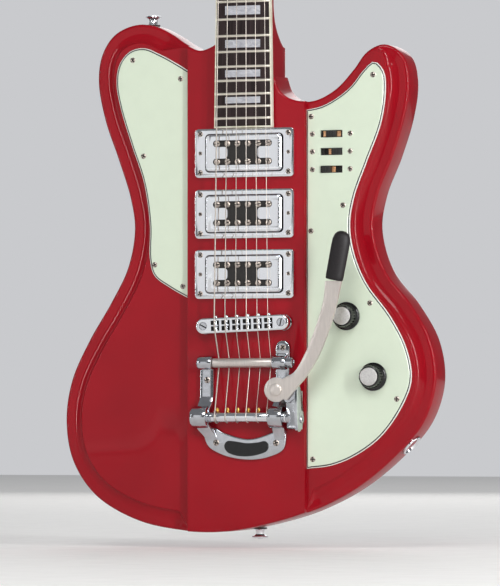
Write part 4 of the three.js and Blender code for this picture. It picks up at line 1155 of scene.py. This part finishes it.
class GUITAR_OT_vibrato_arm(bpy.types.Operator):
    """Builds the string shaft with its pins, the bracket, the spring, the flat arm, its bolt and its grip"""

    bl_idname = "guitar.vibrato_arm"
    bl_label = "Vibrato arm"

    def execute(self, context):
        cast, steel = cast_chrome(), satin_steel()
        bm = barrel(-31.65, 26.05, SHAFT_Y, SHAFT_Z, 4.6, None, 0.3)
        barrel(39.45, 43.5, SHAFT_Y, SHAFT_Z, 5.6, bm, 0.3)
        piece("string_shaft", bm, chrome(), "vibrato_rocker", "chrome", ("vibrato_shaft",))
        bm = bmesh.new()
        for x in (-2.5, -1.5, -0.5, 0.5, 1.5, 2.5):
            place = (x * 9.75 + 0.6, SHAFT_Y + 0.6, SHAFT_Z + 3.4)
            lathe([(0, 0), (0.9, 0), (0.9, 4.6), (0.6, 5), (0, 5)], place, (0, 0, 1), 12, bm)
            lathe([(1.0, 1.8), (1.6, 1.9), (1.6, 4.0), (1.0, 4.1), (1.0, 1.8)], place, (0, 0, 1), 16, bm)
        piece("string_anchor_pins", bm, brass(), "vibrato_rocker", "chrome")
        self.bracket(cast)
        wire = [Vector((PIVOT_X + 5.6 * math.cos(t), -3.6 - 0.7 - 11.6 * min(max((t - 3) / 24.0, 0), 1),
                        PIVOT_Z + 5.6 * math.sin(t))) for t in (30.0 * k / 110 for k in range(111))]
        coil = piece("vibrato_coil_spring", tube(wire, 0.75, 8), steel, BODY, "satin_steel", ("vibrato_spring",))
        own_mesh(coil)
        self.arm(steel)
        return {"FINISHED"}

    def bracket(self, cast):
        corners = [Vector((53.5, -701)), Vector((45.5, -705))] + arc(PIVOT_X, PIVOT_Z, 10.0, 300, 60, 16)
        corners += [Vector((49.5, -687)), Vector((53, -694))]
        plate = prism(corners, -16.7, ((0, 2.1, 0), (0.25, 0.5, 0), (0.4, 0.3, 0)))
        hole = lathe([(0, 0), (3.3, 0), (3.3, 8), (0, 8)], (PIVOT_X, -14, PIVOT_Z), (0, -1, 0), 24)
        bm = merged(bmesh.new(), carved(plate, hole))
        slope = [((42.9, -4, z), (54.8, -4, z), (54.8, -19.3, z), (53.6, -19.4, z), (left, front, z), (left, front + 1, z))
                 for z, left, front in ((-727.6, 44, -10), (-726.6, 42.9, -11.5), (-714, 42.9, -12.5),
                                        (-701, 42.9, -14.5), (-694, 43.5, -17.5))]
        merged(bm, loft(slope))
        barrel(42.0, 56.0, SHAFT_Y, SHAFT_Z, 6.0, bm, 0.8)
        leaf = [(-19.6, -688), (-15, -687.2), (-8.5, -696), (-3.6, -711), (-3.2, -721), (-6, -727.5), (-11, -730.2),
                (-17, -729), (-19.6, -724)]
        loops = []
        for x, inset in ((52.6, 0.5), (52.8, 0.1), (54.6, 0.1), (55.3, 0.6), (55.6, 1.5)):
            middle = Vector((-12, -709))
            rim = [Vector(p) for p in smooth(leaf, 40, True)]
            loops.append([(x, *(middle + (p - middle) * (1 - inset / 14.0))) for p in rim])
        merged(bm, loft(loops))
        lathe([(0, 0), (3.4, 0), (3.4, 1.6), (3.0, 2.1), (1.9, 2.1), (1.7, 0.8), (0, 0.8)],
              (55.0, SHAFT_Y - 1.0, SHAFT_Z - 2.0), (1, 0, 0), 28, bm)
        piece("arm_bracket", bm, cast, "vibrato_rocker", "chrome", ("vibrato_arm_bracket",), sharp=35)

    def arm(self, steel):
        aim = 4.0
        turns = [178 - k * 8.8 for k in range(15)]
        left = [arc(PIVOT_X, PIVOT_Z, 10.8, aim + a, aim + a, 1)[0] for a in turns] + smooth(ARM_LEFT, 34)
        right = [arc(PIVOT_X, PIVOT_Z, 10.8, aim - a, aim - a, 1)[0] for a in turns] + smooth(ARM_RIGHT, 34)
        loops = []
        for a, b in zip(left, right):
            edge = min(0.9, (b - a).length * 0.3)
            across = (b - a).normalized()
            loop = []
            for point, way in ((a, 1), (b, -1)):
                rows = ((0, -20.3), (0, -22.7), (0.25 * edge, -23.15), (edge, -23.4))
                for inset, y in rows if way < 0 else reversed(rows):
                    q = point + across * inset * way
                    loop.append((q.x, y - rise(q.x, q.y), q.y))
            loops.append(loop[4:] + loop[:4])
        bar = loft(loops)
        hole = lathe([(0, 0), (3.2, 0), (3.2, 12), (0, 12)], (PIVOT_X, -14, PIVOT_Z), (0, -1, 0), 24)
        piece("arm_bar", carved(bar, hole), steel, "arm", "satin_steel", ("vibrato_arm",), sharp=30)
        bolt = lathe([(0, -10), (3.0, -10), (3.0, 0), (5.4, 0), (5.4, 0.9), (5.1, 1.5), (4.4, 1.9), (0, 2.1)],
                     (PIVOT_X, -23.4, PIVOT_Z), (0, -1, 0), 36)
        lathe([(3.2, 0), (7.6, 0), (7.6, 1.2), (3.2, 1.2), (3.2, 0)], (PIVOT_X, -19.1, PIVOT_Z), (0, -1, 0), 32, bolt)
        piece("arm_pivot_bolt", bolt, steel, "arm", "satin_steel", ("vibrato_arm_bolt",))
        start, end = Vector((92.9, -29.6, -597.4)), Vector((101.3, -29.6, -554.6))
        along = (end - start).normalized()
        side = Vector((along.z, 0, -along.x))
        out = Vector((0, 1, 0))
        loops = []
        for reach, wide, deep in ((0, 5.5, 3.4), (0.2, 7.4, 4.9), (1.2, 7.9, 5.5), (4, 8.1, 5.8), (20, 8.2, 5.9),
                                  (30, 8.3, 6.0), (36, 8.0, 5.7), (39.6, 7.0, 5.0), (42.0, 5.2, 3.6),
                                  (43.2, 3.0, 2.1), (43.6, 0.8, 0.6)):
            spot = start + along * reach
            loops.append([spot + side * wide * math.cos(t) + out * deep * math.sin(t)
                          for t in (math.tau * k / 28 for k in range(28))])
        piece("arm_grip_black", loft(loops), grip_rubber(), "arm", "black_plastic", ("vibrato_arm_grip",), sharp=60)


# ------------------------------------------------------------------------------------ strings and controls
class GUITAR_OT_strings(bpy.types.Operator):
    """Runs the six strings from their tuner posts over nut and bridge to the vibrato shaft"""

    bl_idname = "guitar.strings"
    bl_label = "Strings"

    def execute(self, context):
        for number, radius in enumerate(STRING_RADII, 1):
            place = 3.5 - number
            side = 1 if number <= 3 else -1
            row = TUNER_ROWS[number - 1 if number <= 3 else 6 - number]
            path = []
            wrap = 3.0 + radius
            for k in range(40):
                t = math.tau * (2.75 - 2.75 * k / 39) * side + (math.pi if side > 0 else 0)
                path.append(HEAD_FRAME @ Vector((side * 25 + wrap * math.cos(t), -15.6 - 2.1 * radius * 2.75 * k / 39,
                                                 row + wrap * math.sin(t))))
            path.append((place * 7.1, -9.85 - radius * 0.6, 5.2))
            path.append((place * 7.1, -10.0 - radius, 0.2))
            path += [(place * 10.05, -12.15 - radius, BRIDGE_Z + 2 + 0.042 * place * 10), ]
            path += [(place * 10.05, -12.1 - radius, BRIDGE_Z + 0.042 * place * 10),
                     (place * 10.05, -11.7 - radius, BRIDGE_Z - 2 + 0.042 * place * 10)]
            path.append((place * 9.8, -2.5 + radius, ROLLER_Z + 2.5))
            path.append((place * 9.8, -2.4 + radius, ROLLER_Z - 0.5))
            path.append((place * 9.75, -3.0, ROLLER_Z - 5))
            wrap = 4.65 + radius
            for k in range(15):
                t = math.radians(72 + k * 17.5)
                path.append((place * 9.75 + 0.045 * k, SHAFT_Y - wrap * math.sin(t), SHAFT_Z + wrap * math.cos(t)))
            wound = number >= 4
            piece(f"string_{number}_{'wound' if wound else 'plain'}", tube(path, radius, 8),
                  wound_wire() if wound else string_wire(), slot="string_steel", nodes=(f"string_{number}",), sharp=60)
        return {"FINISHED"}


class GUITAR_OT_knobs(bpy.types.Operator):
    """Builds the two control knobs: a black skirt with a pointer and a polished cap"""

    bl_idname = "guitar.knobs"
    bl_label = "Knobs"

    def execute(self, context):
        for name, (x, z, aim) in KNOBS.items():
            rows = [(0, 0), (12.4, 0), (12.5, 0.4), (12.4, 1.2), (11.4, 2.1), (10.4, 2.8), (10.0, 3.6), (9.75, 6),
                    (9.5, 11.8), (9.2, 12.8), (8.6, 13.2), (0, 13.2)]
            skirt = lathe(rows, (0, 0, 0), (0, 0, 1), 96)
            cutters = []
            for k in range(24):
                t = math.tau * k / 24
                cutters.append(lathe([(0, 4.2), (0.75, 4.2), (0.75, 11.4), (0, 11.9)],
                                     (10.15 * math.cos(t), 10.15 * math.sin(t), 0), (0, 0, 1), 8))
            joined = bmesh.new()
            for cutter in cutters:
                merged(joined, cutter)
            skirt = carved(skirt, joined)
            front = Matrix.Translation((x, 3.75, z)) @ Matrix.Rotation(math.pi / 2, 4, "X")
            piece(f"knob_{name}_skirt", placed(skirt, front), black_plastic(), name, "black_plastic",
                  (f"knob_{name}",), sharp=35)
            cap = lathe([(0, 12.6), (7.9, 12.6), (7.9, 13.9), (7.5, 14.4), (7.0, 14.55), (0, 14.6)], (0, 0, 0), (0, 0, 1), 64)
            piece(f"knob_{name}_cap", placed(cap, front), satin_cap(), name, "chrome")
            turn = math.radians(215)
            mark = block(9.6, 12.2, -0.6, 0.6, 1.2, 3.3, 0.2)
            placed(mark, front @ Matrix.Rotation(-turn, 4, "Z"))
            piece(f"knob_{name}_pointer", mark, pvc("pvc_white_base_ply", linear("EEF0EA"), 0.35), name, "black_plastic")
            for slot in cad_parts[f"pot_{name}"].material_slots:
                slot.material = screw_nickel()
        return {"FINISHED"}


def satin_cap():
    """Spun aluminium cap: pale metal with fine turned rings."""
    paint, tree, main = shader("aluminium_spun_cap", linear("E2E0DE"), 0.4, 0.75)
    if tree:
        grain = speckle(tree, 1.6, 3.0)
        tinted(tree, main, grain.outputs["Fac"], linear("C8C6C4"), linear("DAD8D6"))
        roughen(tree, main, grain.outputs["Fac"], 0.36, 0.46)
    return paint


class GUITAR_OT_switches(bpy.types.Operator):
    """Builds the three slide switches behind their slots, with their screws"""

    bl_idname = "guitar.switches"
    bl_label = "Switches"

    def execute(self, context):
        bed = bmesh.new()
        for z, _ in SWITCH_ROWS:
            block(78.8 - 14.1, 78.8 + 14.1, 8.9, 12.9, z - 4.9, z + 4.9, 0.2, bed)
            for dx in (-8.6, 8.6):
                block(78.8 + dx - 1.2, 78.8 + dx + 1.2, 6.95, 9.1, z - 2.9, z - 0.4, 0.2, bed)
                block(78.8 + dx - 1.2, 78.8 + dx + 1.2, 6.95, 9.1, z + 0.4, z + 2.9, 0.2, bed)
        piece("switch_beds", bed, matt_black(), slot="black_plastic")
        for i, (z, shift) in enumerate(SWITCH_ROWS):
            x = 78.8 + shift
            bm = block(x - 4.6, x + 4.6, 2.4, 6.8, z - 2.6, z + 2.6, 0.5)
            for dx in (-2.4, 0, 2.4):
                block(x + dx - 0.45, x + dx + 0.45, 1.9, 3.0, z - 2.3, z + 2.3, 0.15, bm)
            piece(f"switch_{i + 1}_button", bm, matt_black(), f"switch_{i + 1}", "black_plastic", (f"switch_slider_{i + 1}",))
            contact = bmesh.new()
            for way in (-1, 1):
                near, far = sorted((x + way * 4.65, x + way * 8.2))
                block(near, far, 6.55, 6.85, z - 2.5, z + 2.5, 0.15, contact)
            piece(f"switch_{i + 1}_contact", contact, copper(), f"switch_{i + 1}", "satin_steel")
        spots = [(x, 4.1, z) for x in (61.2, 96.3) for z, _ in SWITCH_ROWS]
        screws("switch_screws", spots, 2.4, seed=9)
        return {"FINISHED"}


class GUITAR_OT_fittings(bpy.types.Operator):
    """Builds the output jack and the strap buttons with their felt washers"""

    bl_idname = "guitar.fittings"
    bl_label = "Jack and strap buttons"

    def execute(self, context):
        turn = math.radians(-42)
        across = Vector((math.cos(turn), 0, math.sin(turn)))
        rows = [(3.3, -24), (6, -24), (6, -5), (9.6, -3.4), (9.0, -0.4), (10.2, -0.4), (10.2, 0.3), (9.8, 0.8),
                (8.4, 0.8), (8.0, 0.2), (7.4, -1.6), (5.4, -3.9), (3.6, -4.0), (3.3, -4.4), (3.3, -24)]
        cup = lathe(rows, Vector((146.5, 25, -742)), across, 48)
        piece("jack_cup", cup, chrome(), slot="chrome", nodes=("output_jack",))
        nut = lathe([(3.4, -4.2), (5.0, -4.2), (5.0, -2.8), (4.6, -2.4), (3.4, -2.4), (3.4, -4.2)],
                    Vector((146.5, 25, -742)), across, 6)
        piece("jack_nut", nut, screw_nickel(), slot="chrome")
        for name, gap_shade, way in (("horn", (-98.2, 27, -365.0), (0, 0, 1)), ("end", (3.8, 27, -815.6), (0, 0, -1))):
            rows = [(0, -18), (1.5, -18), (1.5, 0), (5.1, 0), (5.1, 0.7), (4.2, 1.6), (3.7, 3.4), (3.7, 5.6),
                    (4.6, 6.6), (6.7, 7.4), (7.1, 8.0), (7.0, 8.7), (6.2, 9.3), (4.6, 9.6), (0, 9.6)]
            button = lathe([(r, h * 0.95) for r, h in rows], gap_shade, way, 40)
            stamp(button, cross_head(2.6, 1.2), Vector(gap_shade) + Vector(way) * 9.3, way)
            piece(f"strap_button_{name}_nickel", button, chrome(), slot="chrome", nodes=(f"strap_button_{name}",))
            washer = lathe([(4.5, -0.6), (6.0, -0.6), (6.3, 0.2), (6.0, 0.9), (4.5, 0.9), (4.5, -0.6)],
                           Vector(gap_shade) + Vector(way) * 0.0, way, 32)
            piece(f"strap_washer_{name}", washer, felt())
        return {"FINISHED"}


class GUITAR_OT_tuners(bpy.types.Operator):
    """Builds the machine heads: strip plates, gear housings, posts and buttons"""

    bl_idname = "guitar.tuners"
    bl_label = "Machine heads"

    def execute(self, context):
        plate = chrome()
        for side, name in ((-1, "bass"), (1, "treble")):
            x = side * 25
            bm = block(x - 7.4, x + 7.4, 14.6, 15.9, 28.5, 133.5, 0.5)
            for row in TUNER_ROWS:
                block(x - 7.2, x + 7.2, 15.2, 26, row - 6.4, row + 6.4, 2.2, bm, 3)
                lathe([(0, 0), (3.4, 0), (3.2, 1.0), (0, 1.4)], (x, 25.4, row), (0, 1, 0), 24, bm)
            piece(f"tuner_strip_{name}", placed(bm, HEAD_FRAME), plate, slot="chrome", nodes=(f"tuner_plate_{name}",))
        bushes = bmesh.new()
        for number in range(1, 7):
            side = 1 if number <= 3 else -1
            row = TUNER_ROWS[number - 1 if number <= 3 else 6 - number]
            x = side * 25
            lathe([(3.2, 0.4), (5.2, 0.4), (5.0, -0.6), (4.2, -0.9), (3.2, -0.9), (3.2, 0.4)], (x, 0, row),
                  (0, 1, 0), 28, bushes)
            rows = [(0, 0), (3.0, 0), (3.0, 34.6), (2.6, 35.2), (2.6, 37.2), (3.0, 37.8), (3.0, 39.2), (2.3, 39.9), (0, 40)]
            post = carved(lathe(rows, (x, 23, row), (0, -1, 0), 28),
                          lathe([(0, 0), (0.8, 0), (0.8, 12), (0, 12)], (x - 6, -13.2, row), (1, 0, 0), 12))
            piece(f"tuner_{number}_post", placed(post, HEAD_FRAME), plate, f"post_{number}", "chrome",
                  (f"tuner_post_{number}",))
            rows = [(0, 0), (2.0, 0), (2.0, 13.8), (2.6, 14.6), (2.6, 16), (0, 16)]
            grip = lathe(rows, (side * 29.2, 21, row), (side, 0, 0), 20)
            oval = lathe([(0, 0), (4.6, 0.5), (7.2, 3), (8.4, 8), (8.2, 12), (6.2, 15.6), (3, 17.1), (0, 17.4)],
                         (0, 0, 0), (side, 0, 0), 36)
            placed(oval, Matrix.Translation((side * 44, 21, row)) @ Matrix.Diagonal((1, 0.5, 1, 1)))
            merged(grip, oval)
            piece(f"tuner_{number}_button", placed(grip, HEAD_FRAME), plate, f"button_{number}", "chrome",
                  (f"tuner_button_{number}",), sharp=50)
        piece("tuner_bushings", placed(bushes, HEAD_FRAME), plate, slot="chrome")
        back = HEAD_FRAME.to_3x3() @ Vector((0, 1, 0))
        spots = [HEAD_FRAME @ Vector((side * 25, 16.2, z)) for side in (-1, 1) for z in (31, 61.5, 100.5, 131)]
        screws("tuner_screws", spots, 1.5, direction=back, seed=12)
        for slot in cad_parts["truss_rod"].material_slots:
            slot.material = screw_nickel()
        return {"FINISHED"}


# ------------------------------------------------------------------------------------ stage
def lamp(name, place, target, size, power, tone="FFFFFF", size_y=None):
    data = bpy.data.lights.new(name, "AREA")
    data.shape = "RECTANGLE"
    data.size = size
    data.size_y = size_y or size
    data.energy = power
    data.color = linear(tone)
    thing = bpy.data.objects.new(name, data)
    thing.location = place
    thing.rotation_euler = (Vector(target) - Vector(place)).to_track_quat("-Z", "Y").to_euler()
    bpy.context.scene.collection.objects.link(thing)
    return thing


class GUITAR_OT_stage(bpy.types.Operator):
    """Sets the camera, the pale floor and the soft studio lights"""

    bl_idname = "guitar.stage"
    bl_label = "Studio"

    def execute(self, context):
        scene = context.scene
        scene.view_settings.view_transform = "Standard"
        data = bpy.data.cameras.new("view")
        data.lens = 294.9
        data.sensor_width = 36.0
        data.clip_end = 40.0
        camera = bpy.data.objects.new("view", data)
        camera.location = (1.45805, -3.99495, -0.72582)
        aim = Vector((0.0040035, 0.0, -0.60707)) - Vector(camera.location)
        camera.rotation_euler = aim.to_track_quat("-Z", "Y").to_euler()
        scene.collection.objects.link(camera)
        scene.camera = camera
        bm = bmesh.new()
        bmesh.ops.create_grid(bm, x_segments=1, y_segments=1, size=6.0)
        bmesh.ops.translate(bm, vec=(0, 0, -0.8335), verts=bm.verts)
        mesh = bpy.data.meshes.new("studio_floor")
        bm.to_mesh(mesh)
        bm.free()
        mesh.materials.append(studio_paper())
        floor = bpy.data.objects.new("studio_floor", mesh)
        scene.collection.objects.link(floor)
        world = scene.world or bpy.data.worlds.new("studio")
        scene.world = world
        world.use_nodes = True
        tree = world.node_tree
        place = node(tree, "ShaderNodeTexCoord")
        axes = node(tree, "ShaderNodeSeparateXYZ", {"Vector": place.outputs["Generated"]})
        height = node(tree, "ShaderNodeMapRange", {"Value": axes.outputs["Z"]}, From_Min=-1.0, From_Max=1.0)
        sky = ramp(tree, height.outputs["Result"], ((0.3, linear("5A5A5C")), (0.5, linear("808184")),
                                                     (0.75, linear("C4C6C9"))))
        glow = tree.nodes["Background"]
        tree.links.new(sky, glow.inputs["Color"])
        glow.inputs["Strength"].default_value = 0.42
        plain = node(tree, "ShaderNodeBackground", Color=(*linear("C9CACD"), 1.0), Strength=1.0)
        seen = node(tree, "ShaderNodeLightPath")
        mix = node(tree, "ShaderNodeMixShader", {"Fac": seen.outputs["Is Camera Ray"]})
        tree.links.new(glow.outputs["Background"], mix.inputs[1])
        tree.links.new(plain.outputs["Background"], mix.inputs[2])
        tree.links.new(mix.outputs["Shader"], tree.nodes["World Output"].inputs["Surface"])
        middle = (0.0, 0.0, -0.55)
        lamp("front_softbox", (-1.25, -3.2, -0.19), middle, 1.7, 5.1, "FFFFFF", 1.27)
        lamp("right_strip", (2.3, -1.6, 0.1), middle, 0.22, 36, "FFFFFF", 1.8)
        lamp("right_wall", (2.6, 0.5, -0.4), middle, 1.0, 11, "FFFFFF", 1.6)
        lamp("left_strip", (-2.4, -0.25, -0.4), middle, 0.1, 2, "FFFFFF", 2.0)
        lamp("top_softbox", (0.45, -2.6, 1.2), middle, 1.2, 32)
        lamp("back_softbox", (-0.9, 3.2, 0.5), middle, 1.6, 14)
        lamp("floor_wash", (0.0, 3.0, 2.4), (0.0, 2.4, -0.83), 3.0, 24)
        for glint in (lamp("right_glint", (2.3, -1.6, 0.1), middle, 0.12, 75, "FFFFFF", 1.8),
                      lamp("left_glint", (-2.3, -2.0, -0.4), middle, 0.12, 12, "FFFFFF", 2.0)):
            glint.visible_diffuse = False
        return {"FINISHED"}


# ------------------------------------------------------------------------------------ add-on
STEPS = (GUITAR_OT_stage, GUITAR_OT_body, GUITAR_OT_plates, GUITAR_OT_neck, GUITAR_OT_fingerboard,
         GUITAR_OT_pickups, GUITAR_OT_bridge, GUITAR_OT_vibrato_base, GUITAR_OT_vibrato_arm, GUITAR_OT_strings,
         GUITAR_OT_knobs, GUITAR_OT_switches, GUITAR_OT_fittings, GUITAR_OT_tuners)


class GUITAR_PT_panel(bpy.types.Panel):
    """Lists the sizes, the colours and the steps"""

    bl_idname = "GUITAR_PT_panel"
    bl_label = "Electric Guitar"
    bl_space_type = "VIEW_3D"
    bl_region_type = "UI"
    bl_category = "Guitar"

    def draw(self, context):
        for group in (context.scene.guitar_sizes, context.scene.guitar_finish):
            column = self.layout.column(align=True)
            for key in group.__annotations__:
                column.prop(group, key)
        for step in STEPS:
            self.layout.operator(step.bl_idname)


CLASSES = (GuitarSizes, GuitarFinish, *STEPS, GUITAR_PT_panel)


def register():
    for kind in CLASSES:
        bpy.utils.register_class(kind)
    bpy.types.Scene.guitar_sizes = PointerProperty(type=GuitarSizes)
    bpy.types.Scene.guitar_finish = PointerProperty(type=GuitarFinish)


def unregister():
    del bpy.types.Scene.guitar_finish
    del bpy.types.Scene.guitar_sizes
    for kind in reversed(CLASSES):
        bpy.utils.unregister_class(kind)


def main():
    register()
    for step in STEPS:
        group, name = step.bl_idname.split(".")
        getattr(getattr(bpy.ops, group), name)()
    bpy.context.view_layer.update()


if __name__ == "__main__":
    main()
